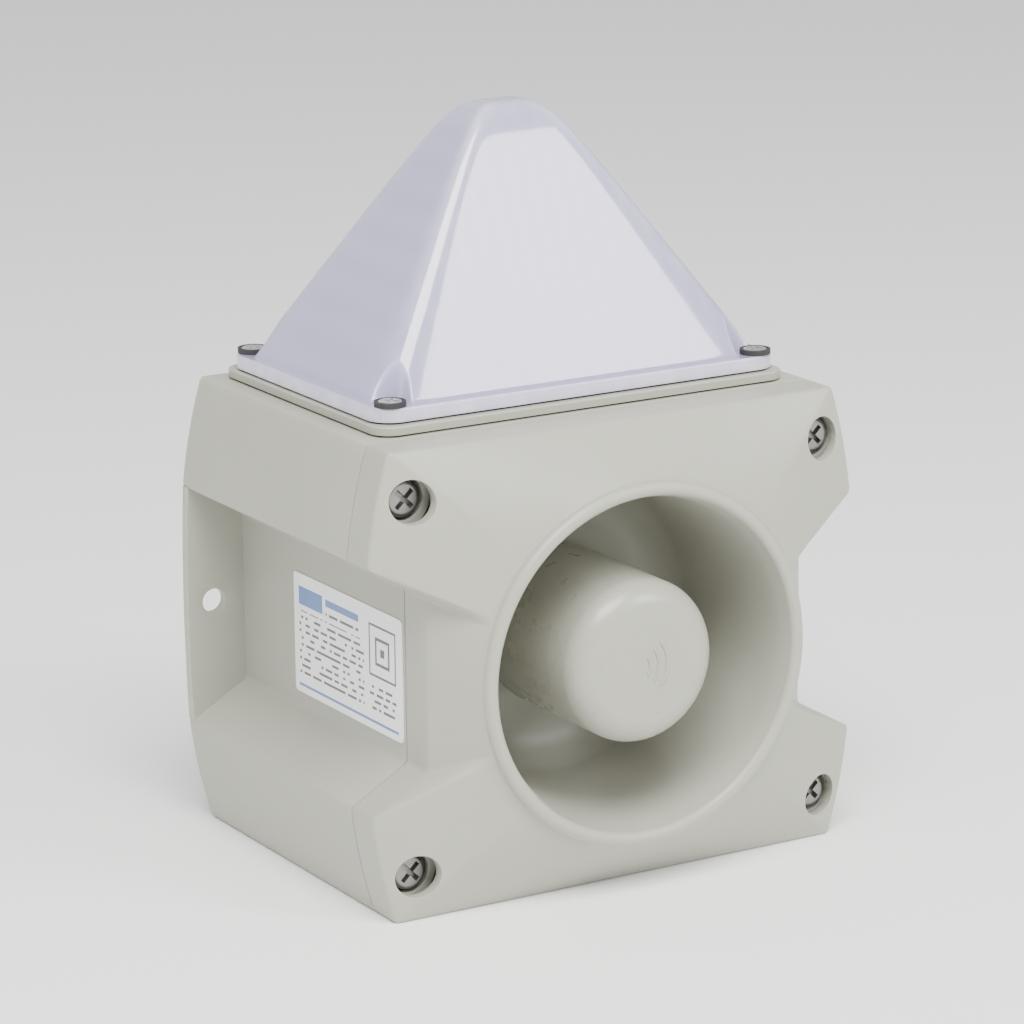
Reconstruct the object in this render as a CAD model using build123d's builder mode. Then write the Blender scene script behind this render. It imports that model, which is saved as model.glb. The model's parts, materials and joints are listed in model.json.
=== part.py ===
"""Wall-mounted horn strobe: a re-entrant horn sounder with a pyramid-shaped strobe lens on top.

Frame: +X to the right seen from the front, +Y into the wall, +Z up. The origin is the middle
of the two wall-screw holes on the back face. "Depth" below is the distance in front of the wall.
"""
from build123d import *
import os
from math import atan, cos, radians, sin

# ---------------------------------------------------------------- driving dimensions, mm
# housing outline, seen from the front
body_width = 135.0          # across the four corner blocks at their widest
body_height = 114.0
end_width = 123.4           # across the corners at the top and bottom edge
block_z = 30.0              # height of the widest point above and below the middle
waist_width = 104.6         # between the two recessed side walls
waist_z = 21.35             # half height of the recessed side wall
side_bulge = 0.7            # how far the sloping sides bow outwards
flange_edge_r = 650.0       # long arc of the flange's edge across the waist
wall = 3.0
groove_in = 0.8             # seal groove in the housing's front edge
groove_wide = 1.4
groove_deep = 1.2
groove_fit = 0.05

# depths in front of the wall
flange_thick = 2.4          # mounting flange that spans the two waists
base_depth = 84.2           # parting plane between housing and cover
seam_gap = 0.3
cover_side = 10.0           # straight side of the cover in front of the seam
rim_depth = 106.9           # circle where the sloping front meets the horn's lip
mouth_depth = 108.85        # front of the horn's lip
corner_angle = 43.0         # where on the rim the ridge from each outline corner runs out
block_angle = 23.0
waist_angle = 20.0

# wall holes and cable entries
wall_hole_spacing = 121.6
wall_hole_d = 6.2
entry_d = 20.2              # clearance entry for an M20 gland
entry_spacing = 50.0
entry_depth = 42.0
entry_pad = 3.0             # extra thickness round each entry
entry_pad_d = 30.0
plug_fit = 0.1
plug_reach = 1.0            # how far the blanking plug's thread stands above the entry pad
plug_head_r = 13.0
plug_head_h = 3.0
plug_seal_r = 12.6
coin_slot_l = 12.0
coin_slot_w = 2.0
coin_slot_deep = 1.4

# horn
mouth_d = 81.8
lip_width = 3.5
bell_wall = 2.5
bell_rounding = 15          # degrees between the points along a rounded profile
lip_round = 1.9             # depth of the lip's two rounded edges
lip_inner = 1.2
lip_lead = 0.6
rim_step = 0.5
bell_bottom_d = 75.0        # bell's inner diameter where its bottom starts to curve
bell_depth = 57.0           # depth of the bell's floor
bell_curve = 10.5           # radius of the curve between bell wall and floor
seat_rim = 4.5              # height of the driver's seat behind the bell's floor
cap_d = 40.0
cap_wall = 2.0
cap_front = 108.3
cap_rear = 66.0
cap_round = 6.5
tube_bore = 12.0
tube_mouth = 17.0
tube_wall = 1.5
tube_front = 97.0
tube_foot_r = 11.0
tube_foot = 1.5
tube_root = 0.3             # extra radius where the tube stands on its foot
fin_r_gap = 0.1
fin_in_r = 12.5
fin_half = 1.0
fin_back = 9.0              # the fins start this far behind the tube's mouth
fin_rise = 2.0
fin_ahead = 4.0

# label on the left waist wall
label_w = 53.5
label_h = 30.3
label_mid = 56.25
label_z = -2.15
label_thick = 0.25
label_round = 1.2

# driver
gasket = 0.5
seat_d = 73.0
driver_flange_d = 72.0
driver_flange = 3.0
driver_hub_d = 53.0
driver_hub = 3.0
driver_screw_pcd = 66.0
driver_screw_d = 3.0
magnet_d = 48.0
magnet_bore = 31.0
magnet_h = 10.0
plate_h = 4.0
pole_d = 24.2
coil_d = 26.8
coil_wall = 0.8
coil_gap = 0.5
can_wall = 1.5
diaphragm_d = 28.0
diaphragm_thick = 0.5
gasket_inner_r = 10.0
driver_head_r = 2.75
driver_head_h = 2.2
driver_shank = 6.6
driver_shank_gap = 0.05
driver_hole_gap = 0.4
driver_pilot = 3.4
recess_r = 19.5
recess_step = 0.4
cone_above_plate = 1.2
dome = [(4.0, 0.9), (8.0, 0.3)]   # radius and rise of the diaphragm's crown
dome_rise = 1.1
dome_r = 10.0
hinge_gap = 0.3
hinge_rim = 1.0
hinge_fit = 0.1
coil_clearance = 0.5
pole_below = 0.4

# fasteners
cover_screw_x = 56.9
cover_screw_z = 45.25
cover_head_d = 9.0
cover_head_h = 3.0
cover_head_face = 93.0      # depth of the screw head's front face
cover_shank_d = 3.9
cover_shank = 16.0
counterbore_d = 10.6
tongue_thick = 1.4          # rim of the cover that reaches into the housing
tongue_drop = 3.0
seal_thick = 0.8
boss_d = 10.0
insert_d = 6.0
insert_len = 8.0
bore_clearance = 0.05       # radial, screw shank in its brass insert
insert_bore_gap = 0.4       # radial, shank in the plain hole behind the insert
insert_bore = 18.0
cover_hole_gap = 0.3
cover_boss_r = 7.2
cover_boss_h = 30.0
seal_fit = 0.3
seal_bore = 0.1
boss_recess = 0.6           # the tongue stops this far from the housing's bosses

# lens unit on top
plinth_w = 114.0
plinth_d = 80.5
plinth_mid = 42.35          # depth of the lens unit's middle
plinth_h = 2.0
plinth_round = 5.5
skirt_w = 79.6
skirt_d = 49.6
skirt_wall = 2.0
skirt_drop = 5.0
skirt_round = 5.0
skirt_inner_round = 3.0
fit_gap = 0.2
gasket_in = 1.0             # how far the gasket under the plinth stays inside its edge
gasket_ring = 0.4
plinth_fix_x = 45.0
plinth_fix_y = 12.0
plinth_fix_hole = 1.7
plinth_fix_pilot = 1.2
plinth_fix_pilot_deep = 6.0
plinth_fix_boss_r = 3.2
plinth_fix_boss = 5.0
plinth_fix_head_r = 2.75
plinth_fix_head_h = 2.2
plinth_fix_shank_r = 1.15
plinth_fix_shank = 8.5
plinth_edge = 0.4
lens_insert_r = 2.5
lens_insert_len = 6.0
lens_seal_in = 0.7
lens_seal_w = 98.0
lens_seal_d = 66.0
lens_seal_hole = 1.9
lens_screw_gap = 0.2
lens_cup_h = 2.7
lens_cup_wall = 0.9
lens_cup_fit = 0.1
pyramid_crown = 3.0         # the straight loft stops this far below the virtual tip
pocket_wall = 2.0
above_all = 40.0
lens_w = 112.0
lens_d = 76.5
lens_flange = 3.3
lens_round = 6.5
lens_wall = 2.5
lens_slope_x = 0.693        # half width gained per millimetre below the virtual tip
lens_slope_y = 0.4545
lens_tip = 141.0            # height of the virtual tip where the four sides would meet
lens_top = 126.0
lens_tip_drop = 5.0         # how far the cavity's virtual tip lies below the outer one
lens_crest = 1.0            # the rounding seen from the side peaks this much above the crest line
lens_ridge_round = 0.25     # ridge radius as a share of the pyramid's half depth at each height
lens_screw_x = 51.0
lens_screw_y = 34.3
lens_head_d = 5.8
lens_head_h = 2.2
lens_shank_d = 3.4
lens_shank = 9.0
pocket_d = 9.4
lens_boss_d = 8.0
lens_boss_drop = 6.0

# strobe board
led_board_w = 70.0
led_board_d = 44.0
board_thick = 1.6
led_post_h = 6.5
led_post_d = 6.0
led_post_x = 30.0
led_post_y = 17.0
led_post_pilot = 1.0
led_post_pilot_deep = 5.5
led_board_round = 3.0
led_hole_r = 1.3
led_head_r = 2.2
led_head_h = 1.8
led_shank_r = 0.95
led_shank = 6.5
led_size = 4.0
led_h = 1.2
led_ring_r = 8.0
reflector_h = 11.0
reflector_r1 = 13.0
reflector_r2 = 19.0
reflector_foot = 1.4
reflector_lip = 1.2
lead_x = -14.0
lead_z = 36.0
lead_r = 1.3
lead_bend = 9.0
lead_hole_r = 6.0
lead_socket = (8.0, 5.0, 5.0)
lead_main_socket = (8.0, 6.0, 8.0)

# main board
board_w = 88.0
board_h = 82.0
standoff_h = 8.0
standoff_d = 7.0
standoff_x = 38.0
standoff_z = 35.0
standoff_pilot_r = 1.25
standoff_pilot = 6.0
board_round = 2.0
board_hole_r = 1.6
board_head_r = 2.8
board_head_h = 2.2
board_shank_r = 1.2
board_shank = 6.6
lever_count = 6
lever_pitch = 2.54
lever_travel = 1.8
terminal_count = 6
terminal_pitch = 5.08
terminal_end = 1.0
terminal_deep = 10.0
terminal_h = 11.0
terminal_z = -33.0
terminal_chamfer = 1.0
terminal_well_r = 1.9
terminal_well = 4.6
terminal_mouth_r = 1.6
terminal_mouth_h = 3.2
terminal_mouth = 7.0
terminal_screw_r = 1.8
terminal_screw_h = 3.6
terminal_slot = (3.8, 0.7)
slot_cut = 1.0

# ---------------------------------------------------------------- derived values
half_h = body_height / 2
half_end = end_width / 2
half_mid = body_width / 2
half_waist = waist_width / 2
mouth_r = mouth_d / 2
rim_r = mouth_r + lip_width
edge_depth = base_depth + cover_side
floor_rear = bell_depth - bell_wall
cap_r = cap_d / 2
seat_r = seat_d / 2
frame_front = floor_rear - gasket
flange_rear = frame_front - driver_flange
hub_rear = flange_rear - driver_hub
plate_rear = hub_rear - plate_h
magnet_rear = plate_rear - magnet_h
yoke_rear = magnet_rear - plate_h
can_rear = yoke_rear - can_wall
board_rear = wall + standoff_h
board_front = board_rear + board_thick
counterbore_floor = cover_head_face - cover_head_h - seal_thick
plinth_bottom = half_h + gasket
plinth_top = plinth_bottom + plinth_h
lens_bottom = plinth_top + gasket
lens_shelf = lens_bottom + lens_flange
led_board_bottom = plinth_top + led_post_h
led_board_top = led_board_bottom + board_thick

os.makedirs("parts", exist_ok=True)


def front_plane(depth):
    """Plane parallel to the wall, facing the room: local x is +X and local y is +Z."""
    return Plane(origin=(0, -depth, 0), x_dir=(1, 0, 0), z_dir=(0, -1, 0))


def level(height):
    """Horizontal plane through the middle of the lens unit: local y is +Y."""
    return Plane(origin=(0, -plinth_mid, height), x_dir=(1, 0, 0), z_dir=(0, 0, 1))


def save(piece, name):
    """Label one finished piece and write it to its own file."""
    piece.part.label = name
    export_step(piece.part, f"parts/{name}.step")


def inset(points, amount):
    """Move each side of a closed clockwise polygon inwards by amount and return its corners."""
    moved = []
    count = len(points)
    for i in range(count):
        before = Vector(*points[i - 1])
        here = Vector(*points[i])
        after = Vector(*points[(i + 1) % count])
        d1 = (here - before).normalized()
        d2 = (after - here).normalized()
        n1 = Vector(d1.Y, -d1.X)
        n2 = Vector(d2.Y, -d2.X)
        scale = amount / (1 + n1.dot(n2))
        moved.append(((here + (n1 + n2) * scale).X, (here + (n1 + n2) * scale).Y))
    return moved


SLOPING_SIDES = (1, 5, 7, 11)    # sides of the outline, counted clockwise from the top edge


def outline_points(amount=0.0):
    """The twelve corners of the waisted outline, clockwise from the top left, inset by amount."""
    right = [(half_end, half_h), (half_mid, block_z), (half_waist, waist_z)]
    right += [(x, -z) for x, z in reversed(right)]
    left = [(-x, z) for x, z in reversed(right)]
    return inset(left[-1:] + right + left[:-1], amount)


def draw_outline(amount=0.0):
    """Outline as lines, with the four sloping sides as shallow outward arcs."""
    points = outline_points(amount)
    for i, start in enumerate(points):
        end = points[(i + 1) % len(points)]
        if i in SLOPING_SIDES:
            middle_x = (start[0] + end[0]) / 2
            bow = side_bulge if middle_x > 0 else -side_bulge
            ThreePointArc(start, (middle_x + bow, (start[1] + end[1]) / 2), end)
        else:
            Line(start, end)


def draw_rim(radius):
    """Circle cut into twelve arcs whose ends face the twelve corners of the outline."""
    quarter = [corner_angle, block_angle, waist_angle]
    right = quarter + [-angle for angle in reversed(quarter)]
    left = [180 - angle for angle in reversed(right)]
    angles = left[-1:] + right + left[:-1]
    for i, start in enumerate(angles):
        size = (angles[(i + 1) % len(angles)] - start) % 360 - 360
        CenterArc((0, 0), radius, start, size)


def outline_face(depth, amount=0.0):
    """The waisted outline as a flat face at one depth."""
    with BuildSketch(front_plane(depth)) as face:
        with BuildLine():
            draw_outline(amount)
        make_face()
    return face.sketch


def rim_face(depth, radius):
    """The rim's circle as a flat face at one depth."""
    with BuildSketch(front_plane(depth)) as face:
        with BuildLine():
            draw_rim(radius)
        make_face()
    return face.sketch


def turned(points):
    """Solid of revolution about the horn's axis from (radius, depth) points."""
    with BuildPart() as body:
        with BuildSketch(Plane.XY):
            with BuildLine():
                Polyline(*[(r, -d) for r, d in points], close=True)
            make_face()
        revolve(axis=Axis.Y)
    return body.part


def cover_screw_places():
    return [(sx * cover_screw_x, sz * cover_screw_z) for sx in (-1, 1) for sz in (-1, 1)]


def lens_screw_places():
    return [(sx * lens_screw_x, sy * lens_screw_y) for sx in (-1, 1) for sy in (-1, 1)]


def driver_screw_places():
    turns = [radians(45 + 90 * i) for i in range(4)]
    return [(driver_screw_pcd / 2 * cos(t), driver_screw_pcd / 2 * sin(t)) for t in turns]


def disc(plane, places, radius, height, mode=Mode.ADD):
    """Equal round discs or holes at several places of one plane."""
    with BuildSketch(plane) as rounds:
        with Locations(*places):
            Circle(radius)
    extrude(rounds.sketch, amount=height, mode=mode)


def plate(plane, width, depth, radius, height, mode=Mode.ADD):
    with BuildSketch(plane) as sheet:
        RectangleRounded(width, depth, radius)
    extrude(sheet.sketch, amount=height, mode=mode)


# ---------------------------------------------------------------- rear housing
housing_front = base_depth - seam_gap
board_corners = [(sx * standoff_x, sz * standoff_z) for sx in (-1, 1) for sz in (-1, 1)]
plinth_fix = [(sx * plinth_fix_x, sy * plinth_fix_y) for sx in (-1, 1) for sy in (-1, 1)]
with BuildPart() as housing_cavity:
    extrude(outline_face(wall, wall), amount=base_depth)
    disc(front_plane(wall), cover_screw_places(), boss_d / 2, base_depth, Mode.SUBTRACT)
    disc(front_plane(wall), board_corners, standoff_d / 2, standoff_h, Mode.SUBTRACT)
    entry_plane = Plane(origin=(0, -entry_depth, -half_h), x_dir=(1, 0, 0), z_dir=(0, 0, 1))
    entries = [(-entry_spacing / 2, 0), (entry_spacing / 2, 0)]
    disc(entry_plane, entries, entry_pad_d / 2, wall + entry_pad, Mode.SUBTRACT)

with BuildPart() as shell:
    extrude(outline_face(0), amount=housing_front)
    with BuildSketch(front_plane(0)):
        with BuildLine():
            corner = (half_end, half_h)
            shoulder = (half_mid, block_z)
            bow = ((half_end + half_mid) / 2 + side_bulge, (half_h + block_z) / 2)
            Polyline((half_mid + side_bulge, 0), (0, 0), (0, half_h), corner)
            ThreePointArc(corner, bow, shoulder)
            RadiusArc(shoulder, (half_mid + side_bulge, 0), flange_edge_r)
        make_face()
        mirror(about=Plane.XZ)
        mirror(about=Plane.YZ)
    extrude(amount=flange_thick)
    add(housing_cavity.part, mode=Mode.SUBTRACT)
    holes = [(-wall_hole_spacing / 2, 0), (wall_hole_spacing / 2, 0)]
    disc(front_plane(0), holes, wall_hole_d / 2, flange_thick, Mode.SUBTRACT)
    disc(entry_plane, entries, entry_d / 2, wall + entry_pad, Mode.SUBTRACT)
    disc(front_plane(housing_front), cover_screw_places(), insert_d / 2, -insert_len, Mode.SUBTRACT)
    disc(front_plane(housing_front), cover_screw_places(), cover_shank_d / 2 + insert_bore_gap,
         -insert_bore, Mode.SUBTRACT)
    disc(front_plane(board_rear), board_corners, standoff_pilot_r, -standoff_pilot, Mode.SUBTRACT)
    disc(level(half_h), plinth_fix, plinth_fix_hole, -wall, Mode.SUBTRACT)
    plate(level(half_h), skirt_w + fit_gap * 2, skirt_d + fit_gap * 2, skirt_round, -wall, Mode.SUBTRACT)
    disc(level(half_h), lens_screw_places(), lens_boss_d / 2 + fit_gap, -wall, Mode.SUBTRACT)
    groove = outline_face(housing_front, groove_in) - outline_face(housing_front, groove_in + groove_wide)
    extrude(groove, amount=-groove_deep, mode=Mode.SUBTRACT)


def save_between(shape, low, high, name):
    """Save the part of a solid inside one box: low and high are (x, depth, z) corners."""
    middle = ((low[0] + high[0]) / 2, -low[1], (low[2] + high[2]) / 2)
    with BuildPart() as piece:
        add(shape)
        with BuildSketch(Plane(origin=middle, x_dir=(1, 0, 0), z_dir=(0, -1, 0))):
            Rectangle(high[0] - low[0], high[2] - low[2])
        extrude(amount=high[1] - low[1], mode=Mode.INTERSECT)
    save(piece, name)


roof = half_h - wall
pad_level = -roof + entry_pad
side_start = (standoff_x + standoff_d / 2 + half_waist - wall) / 2
save_between(shell.part, (-body_width, 0, -body_width), (body_width, wall, body_width), "housing_back")
save_between(shell.part, (-body_width, wall, roof), (body_width, base_depth, body_width), "housing_top")
save_between(shell.part, (-body_width, wall, -body_width), (body_width, base_depth, pad_level),
             "housing_bottom")
save_between(shell.part, (-body_width, wall, pad_level), (-side_start, base_depth, roof),
             "housing_left_side")
save_between(shell.part, (side_start, wall, pad_level), (body_width, base_depth, roof),
             "housing_right_side")
save_between(shell.part, (-side_start, wall, pad_level), (side_start, base_depth, roof),
             "board_standoffs")

# ---------------------------------------------------------------- front cover with the horn's bell
with BuildPart() as cover_cavity:
    extrude(outline_face(base_depth, wall), amount=cover_side - wall / 2)
    loft([outline_face(edge_depth - wall / 2, wall), rim_face(rim_depth - wall, mouth_r)], ruled=True)
    disc(front_plane(base_depth), cover_screw_places(), cover_boss_r, cover_boss_h, Mode.SUBTRACT)

bell_r = bell_bottom_d / 2
bell_profile = [(0, bell_depth), (bell_r - bell_curve, bell_depth)]
for step in range(1, 7):
    turn = radians(step * bell_rounding)
    bell_profile.append((bell_r - bell_curve + bell_curve * sin(turn),
                         bell_depth + bell_curve - bell_curve * cos(turn)))
bell_profile += [(mouth_r - lip_lead, mouth_depth - lip_round * 2), (mouth_r, mouth_depth - lip_round)]
bell_outer = [(0, floor_rear), (seat_r, floor_rear), (seat_r, floor_rear + seat_rim)]
bell_outer += [(bell_r + bell_wall, bell_depth + bell_curve - bell_wall)]
bell_outer += [(mouth_r + bell_wall, rim_depth - rim_step * 2), (rim_r, rim_depth - rim_step)]
bell_outer += [(rim_r, rim_depth)]
for step in range(1, 7):
    turn = radians(step * bell_rounding)
    bell_outer.append((rim_r - lip_round + lip_round * cos(turn),
                       rim_depth + (mouth_depth - rim_depth) * sin(turn)))
bell_outer += [(mouth_r + lip_inner, mouth_depth), (mouth_r, mouth_depth - lip_inner)]
bell_outer += [(0, mouth_depth - lip_inner)]

with BuildPart() as front_cover:
    extrude(outline_face(base_depth), amount=cover_side)
    loft([outline_face(edge_depth), rim_face(rim_depth, rim_r)], ruled=True)
    add(cover_cavity.part, mode=Mode.SUBTRACT)
    add(turned(bell_outer))
    add(turned(bell_profile + [(mouth_r, mouth_depth + wall), (0, mouth_depth + wall)]), mode=Mode.SUBTRACT)
    disc(front_plane(floor_rear), [(0, 0)], tube_bore / 2, bell_wall, Mode.SUBTRACT)
    disc(front_plane(counterbore_floor), cover_screw_places(), counterbore_d / 2, cover_boss_h,
         Mode.SUBTRACT)
    disc(front_plane(base_depth), cover_screw_places(), cover_shank_d / 2 + cover_hole_gap, cover_boss_h,
         Mode.SUBTRACT)
    disc(front_plane(floor_rear), driver_screw_places(), driver_screw_d / 2, driver_pilot, Mode.SUBTRACT)
    tongue = outline_face(base_depth, wall + seam_gap)
    tongue -= outline_face(base_depth, wall + seam_gap + tongue_thick)
    extrude(tongue, amount=-tongue_drop)
    disc(front_plane(base_depth), cover_screw_places(), boss_d / 2 + boss_recess, -tongue_drop,
         Mode.SUBTRACT)
save(front_cover, "front_cover")

with BuildPart() as cover_gasket:
    strip = outline_face(housing_front - groove_deep, groove_in + groove_fit)
    strip -= outline_face(housing_front - groove_deep, groove_in + groove_wide - groove_fit)
    extrude(strip, amount=groove_deep + seam_gap)
save(cover_gasket, "cover_gasket")


def phillips(plane, places, reach, slot, deep):
    """Cross-shaped driver recesses, tapering towards the middle."""
    for turn in (45, 135):
        with BuildSketch(plane) as cross:
            with Locations(*places):
                Rectangle(reach, slot, rotation=turn)
        extrude(cross.sketch, amount=-deep, mode=Mode.SUBTRACT)


def screw(plane, places, head_r, head_h, shank_r, length, recess=True):
    """Pan-head screws: heads stand on the plane, shanks go back from it."""
    with BuildPart() as screws:
        disc(plane, places, head_r, head_h)
        rims = screws.edges().filter_by(GeomType.CIRCLE).group_by(Axis((0, 0, 0), plane.z_dir))[-1]
        fillet(rims, head_h * 0.4)
        disc(plane, places, shank_r, -length)
        if recess:
            top = Plane(plane.origin + plane.z_dir * head_h, x_dir=plane.x_dir, z_dir=plane.z_dir)
            phillips(top, places, head_r * 1.3, head_r * 0.27, head_h * 0.55)
    return screws


def rings(plane, places, outer_r, inner_r, height):
    """Equal rings or bushes standing on one plane."""
    with BuildPart() as bushes:
        disc(plane, places, outer_r, height)
        disc(plane, places, inner_r, height, Mode.SUBTRACT)
    return bushes


# ---------------------------------------------------------------- cover fasteners
head_seat = cover_head_face - cover_head_h
shank_r = cover_shank_d / 2
save(screw(front_plane(head_seat), cover_screw_places(), cover_head_d / 2, cover_head_h, shank_r,
           cover_shank), "cover_screws")
save(rings(front_plane(counterbore_floor), cover_screw_places(), counterbore_d / 2 - seal_fit,
           shank_r + seal_bore, seal_thick), "cover_screw_seals")
save(rings(front_plane(housing_front - insert_len), cover_screw_places(), insert_d / 2,
           shank_r + bore_clearance, insert_len), "housing_inserts")

# ---------------------------------------------------------------- label, blanking plug
with BuildPart() as type_label:
    left_wall = Plane(origin=(-half_waist, -label_mid, label_z), x_dir=(0, -1, 0), z_dir=(-1, 0, 0))
    plate(left_wall, label_w, label_h, label_round, label_thick)
save(type_label, "type_label")

plug_place = [(entry_spacing / 2, 0)]
pad_top = wall + entry_pad
with BuildPart() as entry_plug:
    disc(entry_plane, plug_place, entry_d / 2 - plug_fit, pad_top + plug_reach)
    disc(entry_plane.offset(pad_top + plug_reach), plug_place, plug_head_r, plug_head_h)
    with BuildSketch(entry_plane) as coin_slot:
        with Locations(*plug_place):
            SlotOverall(coin_slot_l, coin_slot_w)
    extrude(coin_slot.sketch, amount=coin_slot_deep, mode=Mode.SUBTRACT)
save(entry_plug, "entry_plug")
save(rings(entry_plane.offset(pad_top), plug_place, plug_seal_r, entry_d / 2 + plug_fit, plug_reach),
     "entry_plug_seal")

# ---------------------------------------------------------------- horn cap and throat tube
cap_inner_r = cap_r - cap_wall
cap_inner_front = cap_front - cap_wall


def rounded_end(radius, front, round_r):
    """Points from the axis out over a rounded front edge, as (radius, depth)."""
    points = [(0, front)]
    for step in range(7):
        turn = radians(90 - step * bell_rounding)
        points.append((radius - round_r + round_r * cos(turn), front - round_r + round_r * sin(turn)))
    return points


outer_cap = rounded_end(cap_r, cap_front, cap_round)
inner_cap = rounded_end(cap_inner_r, cap_inner_front, cap_round - cap_wall)
with BuildPart() as reflex_cap:
    add(turned(outer_cap + [(cap_r, cap_rear), (cap_inner_r, cap_rear)] + inner_cap[::-1]))
save(reflex_cap, "reflex_cap")

throat_r = tube_bore / 2
tube_mouth_r = tube_mouth / 2
with BuildPart() as throat_tube:
    add(turned([(throat_r, bell_depth), (tube_foot_r, bell_depth), (tube_foot_r, bell_depth + tube_foot),
                (throat_r + tube_wall + tube_root, bell_depth + tube_foot),
                (tube_mouth_r + tube_wall, tube_front), (tube_mouth_r, tube_front)]))
    with BuildPart(mode=Mode.PRIVATE) as fin:
        with BuildSketch(Plane.XY) as web:
            with BuildLine():
                fin_r = cap_inner_r - fin_r_gap
                Polyline((tube_mouth_r, -(tube_front - fin_back)),
                         (fin_r, -(tube_front - fin_back + fin_rise)), (fin_r, -(tube_front + fin_rise)),
                         (fin_in_r, -(tube_front + fin_ahead)), (fin_in_r, -cap_inner_front),
                         (tube_mouth_r + tube_root, -cap_inner_front), close=True)
            make_face()
        extrude(web.sketch, amount=fin_half, both=True)
    for turn in (90, 210, 330):
        add(fin.part.rotate(Axis.Y, turn))
save(throat_tube, "throat_tube")

# ---------------------------------------------------------------- compression driver
screw_ring = driver_screw_places()
flange_r = driver_flange_d / 2
hub_r = driver_hub_d / 2
magnet_r = magnet_d / 2
coil_r = coil_d / 2
recess_front = flange_rear + recess_step
can_inner_r = hub_r - can_wall


def drilled(points, places=(), radius=0.0, rear=0.0, length=0.0):
    """A turned piece with a ring of equal holes parallel to the horn's axis."""
    with BuildPart() as body:
        add(turned(points))
        if places:
            disc(front_plane(rear), places, radius, length, Mode.SUBTRACT)
    return body


clear_r = driver_screw_d / 2 + driver_hole_gap
save(drilled([(gasket_inner_r, frame_front), (flange_r, frame_front), (flange_r, floor_rear),
              (gasket_inner_r, floor_rear)], screw_ring, clear_r, frame_front, gasket), "driver_gasket")
save(drilled([(throat_r, frame_front), (flange_r, frame_front), (flange_r, flange_rear),
              (hub_r, flange_rear), (hub_r, hub_rear), (recess_r, hub_rear), (recess_r, recess_front),
              (throat_r, recess_front)], screw_ring, clear_r, flange_rear, driver_flange),
     "driver_frame")
behind_flange = Plane(origin=(0, -flange_rear, 0), x_dir=(1, 0, 0), z_dir=(0, 1, 0))
save(screw(behind_flange, screw_ring, driver_head_r, driver_head_h,
           driver_screw_d / 2 - driver_shank_gap, driver_shank), "driver_screws")
cone_rear = hub_rear + cone_above_plate
cone_front = cone_rear + diaphragm_thick
crown = [(0, dome_rise)] + dome + [(dome_r, 0)]
save(drilled([(r, cone_front + rise) for r, rise in crown]
             + [(diaphragm_d / 2, cone_front), (diaphragm_d / 2, cone_rear)]
             + [(r, cone_rear + rise) for r, rise in reversed(crown)]), "diaphragm")
hinge_r = diaphragm_d / 2 + hinge_gap
hinge_out = recess_r - hinge_fit
hinge_in = hinge_out - hinge_rim
save(drilled([(hinge_in, hub_rear), (hinge_out, hub_rear), (hinge_out, recess_front),
              (hinge_in, recess_front), (hinge_in, cone_front), (hinge_r, cone_front),
              (hinge_r, cone_rear), (hinge_in, cone_rear)]), "diaphragm_suspension")
coil_rear = plate_rear + coil_clearance
save(drilled([(coil_r - coil_wall, coil_rear), (coil_r, coil_rear), (coil_r, cone_rear),
              (coil_r - coil_wall, cone_rear)]), "voice_coil")
save(drilled([(coil_r + coil_gap, plate_rear), (magnet_r, plate_rear), (magnet_r, hub_rear),
              (coil_r + coil_gap, hub_rear)]), "top_plate")
save(drilled([(magnet_bore / 2, magnet_rear), (magnet_r, magnet_rear), (magnet_r, plate_rear),
              (magnet_bore / 2, plate_rear)]), "magnet_ring")
save(drilled([(0, yoke_rear), (magnet_r, yoke_rear), (magnet_r, magnet_rear), (pole_d / 2, magnet_rear),
              (pole_d / 2, hub_rear - pole_below), (0, hub_rear - pole_below)]), "yoke")
save(drilled([(0, can_rear), (hub_r, can_rear), (hub_r, hub_rear), (can_inner_r, hub_rear),
              (can_inner_r, yoke_rear), (0, yoke_rear)]), "driver_can")

# ---------------------------------------------------------------- main board
face = front_plane(board_front)
with BuildPart() as main_board:
    plate(front_plane(board_rear), board_w, board_h, board_round, board_thick)
    disc(front_plane(board_rear), board_corners, board_hole_r, board_thick, Mode.SUBTRACT)
save(main_board, "main_board")
save(screw(face, board_corners, board_head_r, board_head_h, board_shank_r, board_shank), "board_screws")


def at(x, z, depth=board_front):
    """Front-facing plane centred on one place of the main board."""
    return Plane(origin=(x, -depth, z), x_dir=(1, 0, 0), z_dir=(0, -1, 0))


def box_on(plane, width, height, depth, mode=Mode.ADD):
    with BuildSketch(plane) as rect:
        Rectangle(width, height)
    extrude(rect.sketch, amount=depth, mode=mode)


terminals = [(i - (terminal_count - 1) / 2) * terminal_pitch for i in range(terminal_count)]
block_plane = at(0, terminal_z)
with BuildPart() as terminal_block:
    box_on(block_plane, terminal_count * terminal_pitch + terminal_end, terminal_deep, terminal_h)
    chamfer(terminal_block.edges().filter_by(Axis.X).group_by(Axis.Y)[0], terminal_chamfer)
    spots = [(x, 0) for x in terminals]
    disc(block_plane.offset(terminal_h), spots, terminal_well_r, -terminal_well, Mode.SUBTRACT)
    under = Plane(origin=(0, -board_front - terminal_mouth_h, terminal_z - terminal_deep / 2),
                  x_dir=(1, 0, 0), z_dir=(0, 0, 1))
    disc(under, spots, terminal_mouth_r, terminal_mouth, Mode.SUBTRACT)
save(terminal_block, "terminal_block")
with BuildPart() as terminal_screws:
    disc(block_plane.offset(terminal_h - terminal_well), spots, terminal_screw_r, terminal_screw_h)
    with BuildSketch(block_plane.offset(terminal_h - terminal_well + terminal_screw_h)) as slots:
        with Locations(*spots):
            Rectangle(*terminal_slot)
    extrude(slots.sketch, amount=-slot_cut, mode=Mode.SUBTRACT)
save(terminal_screws, "terminal_screws")

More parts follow.
